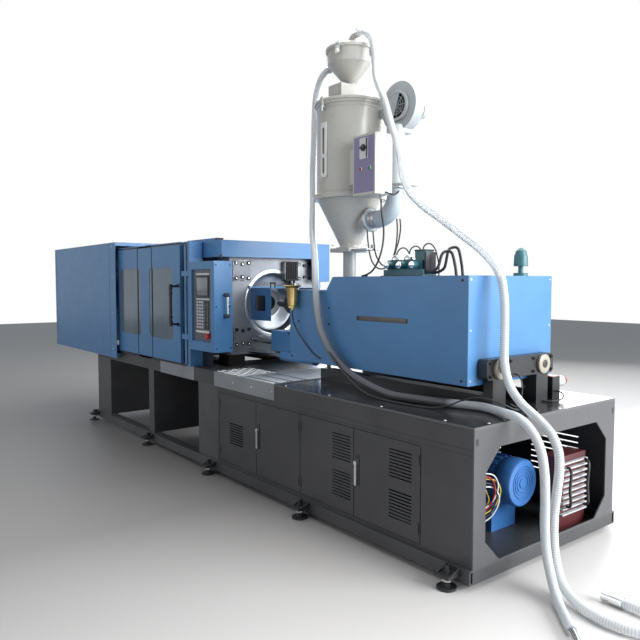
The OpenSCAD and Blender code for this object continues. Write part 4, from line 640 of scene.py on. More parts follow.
ribs = [
    plate("r", (0.7, -0.634 + k * 0.03, 0.779), (1.142, -0.622 + k * 0.03, 0.7835), 0.003)
    for k in range(28)
]
fit(inner_tray, "base", tread_sheet)
fit(welded("tray_ribs", ribs), "base", tread_bright)
bed_knob = turned(
    "bed_knob", (1.185, -0.205, 0.8495), "z",
    [(0, 0), (0.01, 0), (0.01, 0.008), (0.0145, 0.01), (0.0145, 0.026), (0.012, 0.029), (0, 0.03)], 24,
)
fit(bed_knob, "base", painted("knob_cream", (0.56, 0.5, 0.3), 0.35))
deck_screw = pan_screw("deck_screws", (0, 0, DECK), "z", 0.008, 0.007, 0.003, 0.003, 0.0035, 0.0025, 0.002)
deck_places = [(x, y, 0) for y in (-0.615, 0.615) for x in (-2.0, -1.4, -0.8, 1.25, 1.7, 2.15, 2.6)]
deck_places += [(2.775, y, 0) for y in (-0.5, -0.25, 0.1, 0.5)]
fit(set_out(deck_screw, deck_places), "base", zinc)
apron_screw = pan_screw(
    "apron_screws", (0, -0.643, 0.722), "y", 0.007, 0.006, -0.0026, 0.0025, -0.003, 0.002, -0.0015,
)
fit(
    set_out(apron_screw, [(x, 0, 0) for x in (-0.585, -0.3, -0.02, 0.37, 0.62, 0.87, 1.12)]), "base",
    zinc,
)

# Inside the end opening: the pump motor's fan cowl and contactors with their terminals. Painted
# castings and moulded plastic, screwed to the panel. Thin leads run between the contactors and
# loop beside the panel, one feeds the motor, and two hoses run down the oil cooler's face.
motor_blue = painted("motor_blue", (0.04, 0.15, 0.4), 0.36)
dress("pump_motor", motor_blue)
dress("oil_cooler", painted("cooler_red", (0.085, 0.016, 0.018), 0.45, zones=(
    ((2.7215, 0.1, 0.1), (2.8, 0.5, 0.5), (0.5, 0.52, 0.53)),
)))
dress("contactor_panel", painted("panel_white", (0.55, 0.57, 0.58), 0.45))
black_plastic = painted("black_plastic", (0.018, 0.018, 0.02), 0.42, 0.15)
red_plastic = painted("red_plastic", (0.42, 0.02, 0.016), 0.3)
white_plastic = painted("white_plastic", (0.66, 0.67, 0.66), 0.38, 0.04)
cowl = turned("fan_cowl", (2.49, 0.06, 0.33), "x", [
    (0.132, 0.0), (0.134, 0.004), (0.134, 0.086), (0.126, 0.096), (0.096, 0.098), (0.094, 0.093),
    (0.03, 0.093), (0.028, 0.098), (0, 0.098),
], 40)
cowl_ribs = [
    turned("r", (2.583, 0.06, 0.33), "x", square_ring(r, r + 0.006, 0, 0.004), 36, ring=True)
    for r in (0.046, 0.064, 0.082)
]
fit(welded("fan_cowl", [cowl] + cowl_ribs), "base", motor_blue)
contactor = [
    plate("c", (2.6225, -0.5645, 0.226), (2.632, -0.5205, 0.294), 0.002),
    plate("c", (2.631, -0.5585, 0.244), (2.64, -0.5265, 0.276), 0.002),
]
contactor_black = set_out(
    welded("contactors", contactor), [(0, k * 0.058, row * 0.11) for row in (0, 2) for k in range(4)],
)
fit(contactor_black, "base", black_plastic)
breaker = [
    plate("b", (2.6225, -0.5645, 0.336), (2.634, -0.5205, 0.404), 0.002),
    plate("b", (2.633, -0.546, 0.36), (2.645, -0.54, 0.378), 0.001),
]
fit(
    set_out(welded("breakers", breaker), [(0, k * 0.058, 0) for k in range(4)]), "base",
    white_plastic,
)
terminal = plate("terminal_caps", (2.6225, -0.56, 0.3), (2.629, -0.548, 0.312), 0.001)
fit(
    set_out(terminal, [(0, k * 0.0145, row * 0.11) for row in range(3) for k in range(16)]), "base",
    red_plastic,
)


def lead(name, points, size, body, material, sides=10):
    way, measured = resample(smooth_route(points, 10), size * 0.8)
    wire = hose_mesh(name, way, (size / 2,), sides, measured)
    wire.data.materials.append(material)
    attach(wire, body)


yellow_lead = painted("lead_yellow", (0.5, 0.36, 0.03), 0.45)
blue_lead = painted("lead_blue", (0.03, 0.08, 0.35), 0.45)
for k, (y, top, sag, material) in enumerate((
    (-0.54, 0.3, 0.03, rubber), (-0.485, 0.3, 0.045, blue_lead), (-0.43, 0.3, 0.04, red_plastic),
    (-0.37, 0.3, 0.035, yellow_lead), (-0.515, 0.41, 0.05, rubber), (-0.46, 0.41, 0.036, red_plastic),
    (-0.4, 0.41, 0.044, rubber),
)):
    lead(f"panel_lead_{k + 1}", [
        (2.625, y, top), (2.634, y, top + 0.003), (2.648, y + 0.006, top + 0.008),
        (2.658 + sag / 4, y + 0.012, top + 0.028), (2.66 + sag / 4, y + 0.016, top + 0.05),
        (2.654, y + 0.018, top + 0.078), (2.64, y + 0.018, top + 0.1), (2.628, y + 0.018, top + 0.108),
    ], 0.006, "base", material)
for k, (z, reach, material) in enumerate((
    (0.455, 0.1, white_plastic), (0.44, 0.075, red_plastic), (0.425, 0.12, yellow_lead),
    (0.405, 0.09, rubber), (0.385, 0.11, white_plastic),
)):
    lead(f"panel_loop_{k + 1}", [
        (2.6, -0.331, z), (2.606, -0.318, z + 0.004), (2.622, -0.331 + reach * 0.75, z - 0.012),
        (2.634, -0.331 + reach, z - 0.06), (2.632, -0.331 + reach * 0.92, z - 0.11),
        (2.62, -0.331 + reach * 0.6, z - 0.16), (2.606, -0.318, z - 0.186), (2.6, -0.331, z - 0.19),
    ], 0.008, "base", material)
lead("motor_lead", [
    (2.31, 0, 0.48), (2.31, -0.03, 0.48), (2.318, -0.08, 0.476), (2.345, -0.15, 0.462),
    (2.395, -0.22, 0.446), (2.455, -0.28, 0.435), (2.515, -0.322, 0.43), (2.556, -0.338, 0.43),
], 0.014, "base", rubber)
for k, (y, z0, z1) in enumerate(((0.245, 0.2, 0.42), (0.425, 0.18, 0.44))):
    lead(f"cooler_hose_{k + 1}", [
        (2.742, y, z0), (2.76, y, z0 + 0.002), (2.776, y - 0.012, z0 + 0.024), (2.78, y - 0.024, z0 + 0.07),
        (2.78, y - 0.03, (z0 + z1) / 2), (2.78, y - 0.024, z1 - 0.07), (2.776, y - 0.012, z1 - 0.024),
        (2.76, y, z1 - 0.002), (2.742, y, z1),
    ], 0.016, "base", rubber)


# Platens, bars and clamp plates. Ground cast steel with oiled faces, hard chromed bars, and black
# socket screws that hold each tie bar's clamp plate. The fixed platen's recess is turned bright, a
# pale rim round it is a painted highlight, and the platen's foot is painted near black as shade.
OILED_STEEL = (0.26, 0.27, 0.29)
TIE_BARS = [(y, z) for y in (-0.308, 0.308) for z in (1.014, 1.546)]
CLAMP_AXIS_Z = 1.28
ground_steel = bare_metal("ground_steel", OILED_STEEL, 0.52, (12, 90, 12), 0.06)
set_input(ground_steel, "Metallic", 0.7)
chrome = bare_metal("hard_chrome", (0.74, 0.75, 0.77), 0.12, (2, 60, 60), 0.04)
machined = bare_metal("machined_steel", (0.36, 0.36, 0.37), 0.42, (60, 60, 60), 0.12)
for name in ("rear_platen", "moving_platen"):
    dress(name, ground_steel)
# The fixed platen's foot, up to 0.872 m, is painted near black: painted shade under the mould space.
platen_face = bare_metal(
    "platen_face", OILED_STEEL, 0.52, (12, 90, 12), 0.06,
    zones=(((-0.01, -0.6, 0.77), (0.21, 0.6, 0.872), (0.03, 0.027, 0.025)),),
)
set_input(platen_face, "Metallic", 0.7)
dress("fixed_platen", platen_face)
for name in ("tie_bars", "clamp_ram", "screw", "latch_lever_1", "latch_lever_2", "suction_lance"):
    dress(name, chrome)
for name in ("ejector_plate", "injection_crosshead", "blower_impeller", "feed_gate"):
    dress(name, machined)
black_oxide = painted("black_oxide", (0.016, 0.016, 0.018), 0.55, 0.15)
set_input(black_oxide, "Specular IOR Level", 0.28)


def black_screws(name, body, place, axis, size, height, places, way=1):
    screw = socket_screw(name, place, axis, size, height, way)
    fit(set_out(screw, places), body, black_oxide)


clamp_plate = plate("clamp_plates", (0.199, -0.0815, -0.0815), (0.2086, 0.0815, 0.0815), 0.0025, 3)
clamp_plates = set_out(clamp_plate, [(0, y, z) for y, z in TIE_BARS])
fit(clamp_plates, "base", ground_steel)
clamp_places = [
    (0, y0 + y, z0 + z) for y0, z0 in TIE_BARS
    for y, z in ((-0.058, -0.06), (0, -0.05), (0.058, -0.06), (-0.058, 0.06), (0, 0.05), (0.058, 0.06))
]
black_screws("clamp_screws", "base", (0.2075, 0, 0), "x", 0.027, 0.0165, clamp_places)
recess_ring = turned("recess_ring", (0.13, 0, CLAMP_AXIS_Z), "x", [
    (0.2488, 0.001), (0.2488, 0.062), (0.244, 0.066), (0.24, 0.06), (0.228, 0.016), (0.205, 0.006),
    (0.12, 0.0035), (0.11, 0.001),
], 64, ring=True)
turned_face = bare_metal("turned_face", (0.34, 0.36, 0.39), 0.3, (200, 6, 6), 0.05)
fit(recess_ring, "base", turned_face)
# The pale rim round the recess's mouth is a painted highlight for the light on the recess's upper edge.
recess_rim = turned("recess_rim", (0.1992, 0, CLAMP_AXIS_Z), "x", [
    (0.2495, 0), (0.2495, 0.0016), (0.2515, 0.0026), (0.278, 0.0026), (0.28, 0.0012), (0.28, 0),
], 96, ring=True)
fit(recess_rim, "base", bare_metal("rim_painted_highlight", (0.62, 0.64, 0.67), 0.3, (200, 6, 6), 0.05))
barrel_steel = bare_metal("barrel_steel", (0.3, 0.29, 0.28), 0.4, (70, 70, 70), 0.15)
dress("barrel", barrel_steel)

# Guard sheets. Folded sheet in satin blue for the shroud, hood, sliding doors, posts and covers,
# with black seal strips at the closing edge, painted black shade at a post's foot beside the fixed
# platen, and pale clear-sheet windows in black rims.
GUARD_BLUE = (0.07, 0.205, 0.42)
guard_blue = painted("guard_blue", GUARD_BLUE, 0.32, 0.05, 0.05)
for name in (
    "rear_cover", "back_door", "injection_cover", "console_housing", "carriage_block", "clamp_cylinder",
):
    dress(name, guard_blue)
SEAL_AND_SHADE = (0.012, 0.013, 0.016)
# The last zone paints the post's foot beside the fixed platen black: painted shade, not a seal.
dress("guard_posts", painted("post_blue", GUARD_BLUE, 0.34, 0.05, zones=(
    ((-0.172, -0.64, 0.77), (-0.1085, -0.5, 1.79), SEAL_AND_SHADE),
    ((-0.172, 0.5, 0.77), (-0.1085, 0.64, 1.79), SEAL_AND_SHADE), ((-0.0115, -0.6, 0.77), (0.2, -0.5, 0.93), SEAL_AND_SHADE),
)))
dress("front_door", painted(
    "front_door_blue", GUARD_BLUE, 0.32, 0.05, 0.05,
    zones=(((-0.26, -0.8, 0.9), (-0.15, -0.6626, 1.6), SEAL_AND_SHADE),),
))
dress("clamp_hood", painted("hood_blue", GUARD_BLUE, 0.32, 0.05, 0.05))
dress("purge_guard", painted(
    "purge_guard_blue", GUARD_BLUE, 0.34, 0.05, zones=(((0.38, -0.2, 1.4085), (0.52, 0.2, 1.5), SEAL_AND_SHADE),),
))
dress("door_windows", painted("window_sheet", (0.13, 0.17, 0.21), 0.1, 0.1, 0.01))


def thicken(sheet, thickness, offset):
    pick(sheet)
    wall = sheet.modifiers.new("wall", "SOLIDIFY")
    wall.thickness = thickness
    wall.offset = offset
    bpy.ops.object.modifier_apply(modifier="wall")


def rim(name, x0, x1, z0, z1, y, corner, width, thick):
    frame_rim = primitive(
        bpy.ops.mesh.primitive_plane_add, name, size=1, location=((x0 + x1) / 2, y, (z0 + z1) / 2),
        rotation=(math.pi / 2, 0, 0), scale=(x1 - x0, z1 - z0, 1),
    )
    frame_rim.data.name = name
    bpy.ops.object.mode_set(mode="EDIT")
    bpy.ops.mesh.select_all(action="SELECT")
    bpy.ops.mesh.bevel(offset=corner, segments=8, affect="VERTICES")
    bpy.ops.mesh.select_all(action="SELECT")
    bpy.ops.mesh.inset(thickness=width)
    bpy.ops.mesh.delete(type="FACE")
    bpy.ops.object.mode_set(mode="OBJECT")
    thicken(frame_rim, thick, 0)
    return round_edges(frame_rim, 0.0006, 1)


rims = [
    rim("r", x0 - 0.004, x1 + 0.004, 0.966, 1.579, -0.6618, 0.044, 0.013, 0.0045)
    for x0, x1 in ((-1.47, -0.985), (-0.79, -0.32))
]
fit(welded("window_rims", rims), "front_door", rubber)
collars = [turned("c", (-0.205, -0.735, 0), "z", [
    (0.0125, z), (0.0165, z + 0.001), (0.0165, z + 0.019), (0.0125, z + 0.02),
], 24, ring=True) for z in (1.118, 1.16, 1.35, 1.392)]
fit(welded("handle_collars", collars), "front_door", black_plastic)
black_screws(
    "door_screws", "front_door", (0, -0.662, 0), "y", 0.014, 0.004,
    grid((-0.225, -0.185), (0,), (1.095, 1.435)), -1,
)
dark_edge = painted("dark_edge", (0.02, 0.026, 0.036), 0.5)
joints = [
    plate("j", (x, y0, 0.715), (x + 0.003, y1, 1.835), 0) for x in (-3.4, -1.66)
    for y0, y1 in ((-0.7008, -0.6995), (0.6995, 0.7008))
]
fit(welded("shroud_joints", joints), "base", dark_edge)
shroud_screw = pan_screw(
    "shroud_screws", (0, -0.7, 0), "y", 0.008, 0.0065, -0.003, 0.003, -0.0036, 0.0025, -0.002,
)
front_screws = set_out(shroud_screw, grid((-3.425, -1.58), (0,), (0.8, 1.15, 1.5, 1.8)))
fit(front_screws, "base", zinc)

# Hood over the mould space: the black ends of its flat bar, a dark line at the folded end and a
# small latch. Below it are the ribbed black junction box with zinc cheeks and three short leads.
hood_ends = [
    plate("h", (x0, -0.536, 1.7795), (x1, -0.474, 1.7992), 0.003, 3)
    for x0, x1 in ((-0.286, -0.262), (0.182, 0.206))
]
fit(welded("hood_bar_ends", hood_ends), "base", black_plastic)
hood_parts = [
    plate("h", (0.2745, -0.5358, 1.652), (0.2765, -0.5338, 1.778), 0),
    plate("h", (0.262, -0.541, 1.636), (0.282, -0.528, 1.668), 0.003, 3),
]
fit(welded("hood_latch", hood_parts), "base", black_plastic)
box_black = painted("box_black", (0.014, 0.014, 0.016), 0.62, 0.15)
set_input(box_black, "Specular IOR Level", 0.25)
dress("junction_box", box_black)
ribs = [
    plate("j", (0.2495, 0.094 + k * 0.0185, 1.478), (0.2555, 0.1015 + k * 0.0185, 1.612), 0.0015)
    for k in range(6)
]
fit(welded("junction_box_ribs", ribs), "base", box_black)
cheeks = [
    plate("j", (0.202, y0, 1.472), (0.249, y1, 1.618), 0.001)
    for y0, y1 in ((0.0825, 0.0855), (0.2145, 0.2175))
]
fit(welded("junction_box_cheeks", cheeks), "base", zinc)
for k, (y0, y1, reach) in enumerate(((0.11, 0.15, 0.055), (0.15, 0.19, 0.075), (0.19, 0.245, 0.09))):
    lead(f"junction_lead_{k + 1}", [
        (0.225, y0, 1.446), (0.226, y0, 1.43), (0.23, y0 + 0.003, 1.412), (0.236, y0 + 0.01, 1.446 - reach),
        (0.238, (y0 + y1) / 2, 1.436 - reach), (0.236, y1 - 0.01, 1.446 - reach),
        (0.23, y1 - 0.003, 1.412 - reach / 3), (0.222, y1, 1.425), (0.212, y1, 1.44),
    ], 0.009, "base", rubber)

# Purge guard and carriage. The guard has a smoked window and small screws at its corners, and
# black socket screws hold the guide bars' bearings in the carriage.
fit(
    plate("purge_window", (0.262, -0.2285, 1.213), (0.433, -0.2262, 1.36), 0.001), "purge_guard",
    painted("smoked_sheet", (0.012, 0.014, 0.018), 0.12, 0.1, 0.01),
)
black_screws(
    "purge_guard_screws", "purge_guard", (0, -0.23, 0), "y", 0.012, 0.004,
    grid((0.235, 0.475), (0,), (1.175, 1.385)), -1,
)
black_screws(
    "bearing_screws", "carriage", (0.5505, 0, 0), "x", 0.02, 0.011,
    [(0, s * y, z) for s in (-1, 1) for y in (0.14, 0.245) for z in (0.945, 1.07)], -1,
)

# Console: screen in a dark bezel with pale strips above and below it, five columns of keys,
# a row strip, the stop button's yellow collar and a chrome grip with black ends. The two right
# columns of keys are dark and carry plain rings and crosses.
KEY_X, KEY_Z, KEY_ACROSS, KEY_UP, PANEL_Y = 0.183, 1.108, 0.039, 0.024, -0.6955
dress("console_panel", painted("panel_grey", (0.085, 0.095, 0.11), 0.36, 0.06))
fit(
    plate("screen_glass", (0.178, -0.6978, 1.353), (0.344, PANEL_Y, 1.487), 0.001), "console",
    painted("screen_glass", (0.24, 0.25, 0.255), 0.08, 0.05, 0.01),
)
bezel = [
    plate("b", (0.166, -0.6975, z0), (0.356, PANEL_Y, z1), 0.001)
    for z0, z1 in ((1.34, 1.352), (1.488, 1.5))
]
bezel += [
    plate("b", (x0, -0.6975, 1.352), (x1, PANEL_Y, 1.488), 0.001)
    for x0, x1 in ((0.166, 0.177), (0.345, 0.356))
]
fit(welded("screen_bezel", bezel), "console", black_plastic)
strips = [
    plate("s", (0.158, -0.6915, z0), (0.364, -0.687, z1), 0.001)
    for z0, z1 in ((1.507, 1.521), (1.318, 1.329))
]
strips.append(plate("s", (0.156, PANEL_Y, 1.067), (0.366, -0.6935, 1.085), 0.001))
fit(welded("panel_strips", strips), "console", white_plastic)
key_cap = plate("key_caps", (0.1675, PANEL_Y, 1.0995), (0.1985, -0.6925, 1.1165), 0.0012)
light_moves = [(c * KEY_ACROSS, 0, r * KEY_UP) for r in range(9) for c in (0, 1, 2)]
dark_moves = [(c * KEY_ACROSS, 0, r * KEY_UP) for r in range(9) for c in (3, 4)]
dark_key = key_cap.copy()
dark_key.data = key_cap.data.copy()
dark_key.name = "dark_key_caps"
scene.collection.objects.link(dark_key)
key_grey = painted("key_grey", (0.5, 0.52, 0.54), 0.4, 0.05)
fit(set_out(key_cap, light_moves), "console", key_grey)
fit(set_out(dark_key, dark_moves), "console", black_plastic)
mark = turned(
    "key_marks", (0, PANEL_Y, 0), "y",
    [(0.0028, 0.0005), (0.0028, -0.0006), (0.0048, -0.0006), (0.0048, 0.0005)], 16, ring=True,
)
marks = set_out(
    mark, [(KEY_X + c * KEY_ACROSS, 0, KEY_Z + r * KEY_UP) for r in (1, 3, 5, 7) for c in (3, 4)],
)
crosses = []
for r in (2, 4, 6):
    for c in (3, 4):
        x, z = KEY_X + c * KEY_ACROSS, KEY_Z + r * KEY_UP
        for dx, dz in ((0.005, 0.0009), (0.0009, 0.005)):
            crosses.append(plate("x", (x - dx, -0.6962, z - dz), (x + dx, -0.6952, z + dz), 0))
fit(welded("key_marks", [marks] + crosses), "console", white_plastic)
collar = turned(
    "stop_collar", (0.36, -0.684, 1.048), "y",
    [(0.0145, 0), (0.03, 0), (0.03, -0.002), (0.028, -0.0035), (0.0145, -0.0035)], 40, ring=True,
)
fit(collar, "console", painted("collar_yellow", (0.6, 0.4, 0.02), 0.35))
grip = turned("console_grip", (0.504, -0.61, 1.216), "z", square_ring(0, 0.0102, 0, 0.128), 28)
fit(grip, "console", chrome)
grip_ends = [turned("g", (0.504, -0.61, z), "z", [
    (0, 0), (0.0115, 0.0), (0.013, 0.002), (0.013, 0.028), (0.0115, 0.03), (0, 0.03),
], 28) for z in (1.1865, 1.3435)]
grip_ends += [turned("g", (0.4585, -0.61, z), "x", [
    (0.0085, 0), (0.0155, 0.001), (0.0155, 0.007), (0.0085, 0.008),
], 28, ring=True) for z in (1.2, 1.36)]
fit(welded("console_grip_ends", grip_ends), "console", black_plastic)
side_screw = pan_screw(
    "console_screws", (0.4605, 0, 0), "x", 0.006, 0.005, 0.0025, 0.002, 0.003, 0.002, 0.0015,
)
fit(
    set_out(side_screw, grid((0,), (-0.685, -0.565), (0.96, 1.27, 1.58))), "console",
    black_oxide,
)

# Injection cover. Small black socket screws along the folded sheet, a brown scale with black ends
# in the front's slot, and pale pan screws on the end sheet. Below, the cabinet's end plate has a
# dark slot at each top corner.
cover_places = [
    (1.067, 0, 1.184), (1.398, 0, 1.179), (1.398, 0, 1.284), (0.985, 0, 0.935), (2.5, 0, 0.935),
    (2.5, 0, 1.462),
]
black_screws("cover_screws", "carriage", (0, -0.375, 0), "y", 0.013, 0.004, cover_places, -1)
slot_scale = plate("slot_scale", (1.672, -0.3725, 1.2165), (2.108, -0.3665, 1.2435), 0.001)
fit(slot_scale, "carriage", painted("slot_brown", (0.1, 0.085, 0.08), 0.45, 0.2))
scale_ends = [
    plate("b", (x0, -0.3755, 1.2155), (x0 + 0.02, -0.3665, 1.2445), 0.004, 3) for x0 in (1.669, 2.091)
]
fit(welded("slot_ends", scale_ends), "carriage", black_plastic)
black_screws(
    "back_cover_screws", "carriage", (0, 0.375, 0), "y", 0.013, 0.004,
    grid((0.99, 1.5, 2.0, 2.5), (0,), (0.935, 1.36)),
)
corner_slots = [
    plate("c", (2.7985, y - 0.008, 0.69), (2.8012, y + 0.008, 0.722), 0) for y in (-0.618, 0.618)
]
fit(welded("corner_slots", corner_slots), "base", black_plastic)
end_screw = pan_screw(
    "cover_end_screws", (2.54, 0, 0), "x", 0.007, 0.006, 0.0026, 0.0025, 0.003, 0.002, 0.0015,
)
fit(set_out(end_screw, grid((0,), (-0.355, 0.355), (0.935, 1.2, 1.465))), "carriage", zinc)

# Dryer and receiver. Cream gloss paint on rolled sheet: seam, bead, sight glass and a small cover
# on the stand, toggle clamps on the lids, screws in the neck's plates and the drum's flange, and
# worm-drive clips on the hoses.
DRYER_X = 1.17
CREAM = (0.47, 0.46, 0.425)


def round_dryer(*angles):
    centre = Matrix.Translation((DRYER_X, 0, 0))
    return [centre @ Matrix.Rotation(math.radians(a), 4, "Z") for a in angles]


cream = painted("dryer_cream", CREAM, 0.28, 0.04, 0.03)
for name in ("dryer_base", "dryer_cone", "dryer_lid", "receiver", "receiver_lid"):
    dress(name, cream)
dress("dryer_drum", painted("drum_cream", CREAM, 0.28, 0.04, 0.03, zones=(
    ((1.1375, -0.244, 2.1695), (1.2025, -0.2372, 2.5405), (0.78, 0.79, 0.78)),
)))
stand_cover = [plate("s", (1.128, -0.1428, 2.74), (1.212, -0.1398, 2.796), 0.001)]
stand_cover += [
    turned("s", (x, -0.1428, 2.768), "y", [(0, 0.001), (0.004, 0.001), (0.0035, -0.002), (0, -0.002)], 12)
    for x in (1.134, 1.206)
]
fit(welded("stand_cover", stand_cover), "carriage", cream)
fit(
    plate("sight_glass", (1.155, -0.2385, 2.188), (1.185, -0.234, 2.512), 0.001), "carriage",
    painted("pellet_view", (0.16, 0.13, 0.1), 0.14, 0.5, 0.6),
)
sight_screw = turned(
    "sight_screws", (0, -0.2425, 0), "y",
    [(0, 0.002), (0.005, 0.002), (0.0045, -0.001), (0.002, -0.0015), (0, -0.0015)], 12,
)
fit(set_out(sight_screw, grid((1.146, 1.194), (0,), (2.18, 2.315, 2.528))), "carriage", zinc)
seam = plate("drum_seams", (-0.004, -0.2372, 2.07), (0.004, -0.2345, 2.655), 0.001)
fit(set_out(seam, round_dryer(200)), "carriage", cream)
bead_profile = [(0.2346, -0.006), (0.2375, -0.004), (0.2388, 0), (0.2375, 0.004), (0.2346, 0.006)]
bead = turned("drum_bead", (DRYER_X, 0, 2.64), "z", bead_profile, 72, ring=True)
fit(bead, "carriage", cream)
toggle = [
    plate("t", (0.245, -0.011, 2.632), (0.249, 0.011, 2.676), 0.001),
    plate("t", (0.248, -0.0065, 2.64), (0.256, 0.0065, 2.702), 0.002),
    turned("t", (0.253, 0, 2.708), "y", square_ring(0, 0.0045, -0.013, 0.013), 16),
    plate("t", (0.256, -0.0055, 2.612), (0.26, 0.0055, 2.668), 0.0015),
]
toggles = set_out(welded("lid_toggles", toggle), round_dryer(31, 151, 271))
fit(toggles, "carriage", zinc)
flange_screw = turned(
    "flange_screws", (0, 0, 2.0612), "z",
    [(0, 0), (0.0075, 0), (0.0075, 0.005), (0.0045, 0.0065), (0, 0.0065)], 6,
)
flange_places = [turn @ Matrix.Translation((0.248, 0, 0)) for turn in round_dryer(*range(15, 375, 30))]
fit(set_out(flange_screw, flange_places), "carriage", zinc)
neck_screw = turned(
    "neck_screws", (0, 0, 0), "z", [(0, 0), (0.01, 0), (0.01, 0.006), (0.006, 0.008), (0, 0.008)], 6,
)
neck_places = [
    (DRYER_X + sx * reach, sy * reach, z)
    for reach, z in ((0.086, 1.7122), (0.064, 1.3932)) for sx in (-1, 1) for sy in (-1, 1)
]
fit(set_out(neck_screw, neck_places), "carriage", zinc)


def hose_clip(name, centre, axis, radius):
    band = turned("band", centre, axis, [
        (radius, -0.006), (radius + 0.0012, -0.0065), (radius + 0.0012, 0.0065), (radius, 0.006),
    ], 40, ring=True)
    x, y, z = centre
    screw = turned(
        "screw", (x, y, z + radius + 0.005), "y",
        [(0, -0.016), (0.0055, -0.016), (0.0055, -0.01), (0.0042, -0.009), (0.0042, 0.012), (0, 0.012)], 12,
    )
    return welded(name, [band, screw])


clips = [hose_clip("c", (1.253, 0, 3.16), "x", 0.0236), hose_clip("c", (0.937, 0, 2.995), "x", 0.0236)]
fit(welded("hose_clips", clips), "carriage", zinc)
latch = [
    plate("l", (0.1735, -0.0148, 3.004), (0.1832, 0.0148, 3.078), 0.0015),
    plate("l", (0.1828, -0.008, 3.012), (0.19, 0.008, 3.05), 0.002),
    turned("l", (0.1855, 0, 3.064), "y", square_ring(0, 0.0045, -0.014, 0.014), 14),
]
latches = set_out(welded("receiver_latches", latch), round_dryer(20, 200, 290))
fit(latches, "carriage", zinc)
lid_wing = [
    plate("w", (0.172, -0.006, 3.094), (0.2, 0.006, 3.102), 0.002),
    turned("w", (0.19, 0, 3.098), "z", [(0, 0), (0.007, 0), (0.007, 0.01), (0, 0.012)], 14),
]
fit(set_out(welded("receiver_clips", lid_wing), round_dryer(20, 200)), "carriage", zinc)

# Blower and duct. Grey pressed housing with a sector shutter on its dark inlet, a finned motor
# behind it, and a woven heat wrap on the elbow, held by bands. Two heater leads hang in loops.
BLOWER_X, BLOWER_Z = 1.605, 2.605
blower_grey = painted("blower_grey", (0.44, 0.47, 0.48), 0.4, 0.08, 0.1)
dress("blower_housing", blower_grey)
dress("air_duct", painted("duct_wrap", (0.5, 0.56, 0.6), 0.62, 0.1, 0.5))
inlet = [turned("i", (BLOWER_X, 0.026, BLOWER_Z), "y", [
    (0.08, 0), (0.097, 0), (0.099, -0.003), (0.097, -0.006), (0.08, -0.006),
], 48, ring=True)]
inlet += [
    turned("i", (BLOWER_X, 0.0235, BLOWER_Z), "y", square_ring(r, r + 0.003, -0.001, 0.002), 40, ring=True)
    for r in (0.02, 0.038, 0.056)
]
for angle in range(0, 180, 45):
    spoke = plate("i", (-0.08, 0.0225, -0.0015), (0.08, 0.025, 0.0015), 0)
    spoke.data.transform(
        Matrix.Translation((BLOWER_X, 0, BLOWER_Z)) @ Matrix.Rotation(math.radians(angle), 4, "Y")
    )
    inlet.append(spoke)
fit(welded("inlet_grille", inlet), "carriage", blower_grey)
shutter = primitive(
    bpy.ops.mesh.primitive_circle_add, "sector_shutter", vertices=48, radius=0.078, fill_type="NGON",
    location=(BLOWER_X, 0.0205, BLOWER_Z), rotation=(math.pi / 2, 0, 0),
)
bpy.ops.object.mode_set(mode="EDIT")
bpy.ops.mesh.select_all(action="SELECT")
bpy.ops.mesh.bisect(plane_co=(BLOWER_X, 0, BLOWER_Z), plane_no=(0.94, 0, -0.34), clear_outer=True)
bpy.ops.object.mode_set(mode="OBJECT")
thicken(shutter, 0.002, -1)
fit(shutter, "carriage", blower_grey)
fins = [turned(
    "f", (BLOWER_X, 0.128 + k * 0.0115, BLOWER_Z), "y",
    [(0.06, 0), (0.068, 0.0006), (0.068, 0.003), (0.06, 0.0036)], 40, ring=True,
) for k in range(9)]
terminal_box = plate("f", (1.567, 0.145, 2.664), (1.643, 0.215, 2.706), 0.003, 3)
fit(welded("blower_motor_fins", fins + [terminal_box]), "carriage", blower_grey)
for k, (dx, dy, low) in enumerate(((0, 0, 0), (0.026, 0.03, 0.022))):
    lead(f"heater_loop_{k + 1}", [
        (1.376 + dx, -0.022 + dy, 1.802), (1.384 + dx, -0.026 + dy, 1.765),
        (1.394 + dx, -0.028 + dy, 1.715), (1.408 + dx, -0.028 + dy, 1.65),
        (1.432 + dx * 0.8, -0.022 + dy, 1.585 + low), (1.476 + dx * 0.4, -0.01 + dy, 1.545 + low),
        (1.528, 0.006 + dy, 1.548 + low), (1.57 - dx * 0.4, 0.02 + dy, 1.592 + low),
        (1.594 - dx * 0.6, 0.03 + dy, 1.66 + low), (1.604 - dx * 0.4, 0.036 + dy, 1.735),
        (1.604, 0.04 + dy, 1.81), (1.598, 0.04 + dy, 1.872),
    ], 0.01, "carriage", rubber)
turn_duct = round_dryer(4.04)[0]
strap = square_ring(0.0602, 0.0618, -0.007, 0.007)
duct_bands = [turned("d", (x, 0, 1.88), "x", strap, 40, ring=True) for x in (0.236, 0.268)]
duct_bands.append(turned("d", (0.425, 0, 2.04), "z", strap, 40, ring=True))
duct_bands.append(turned("d", (0.2065, 0, 1.88), "x", [
    (0.0802, -0.0085), (0.0835, -0.006), (0.085, 0), (0.0835, 0.006), (0.0802, 0.0085),
], 48, ring=True))
duct_bands.append(turned("d", (0.425, 0, 2.0805), "z", [
    (0.0802, -0.0165), (0.0835, -0.0125), (0.085, -0.0065), (0.0835, -0.001), (0.0802, 0.005),
], 48, ring=True))
for band in duct_bands:
    band.data.transform(turn_duct)
fit(welded("duct_bands", duct_bands), "carriage", zinc)
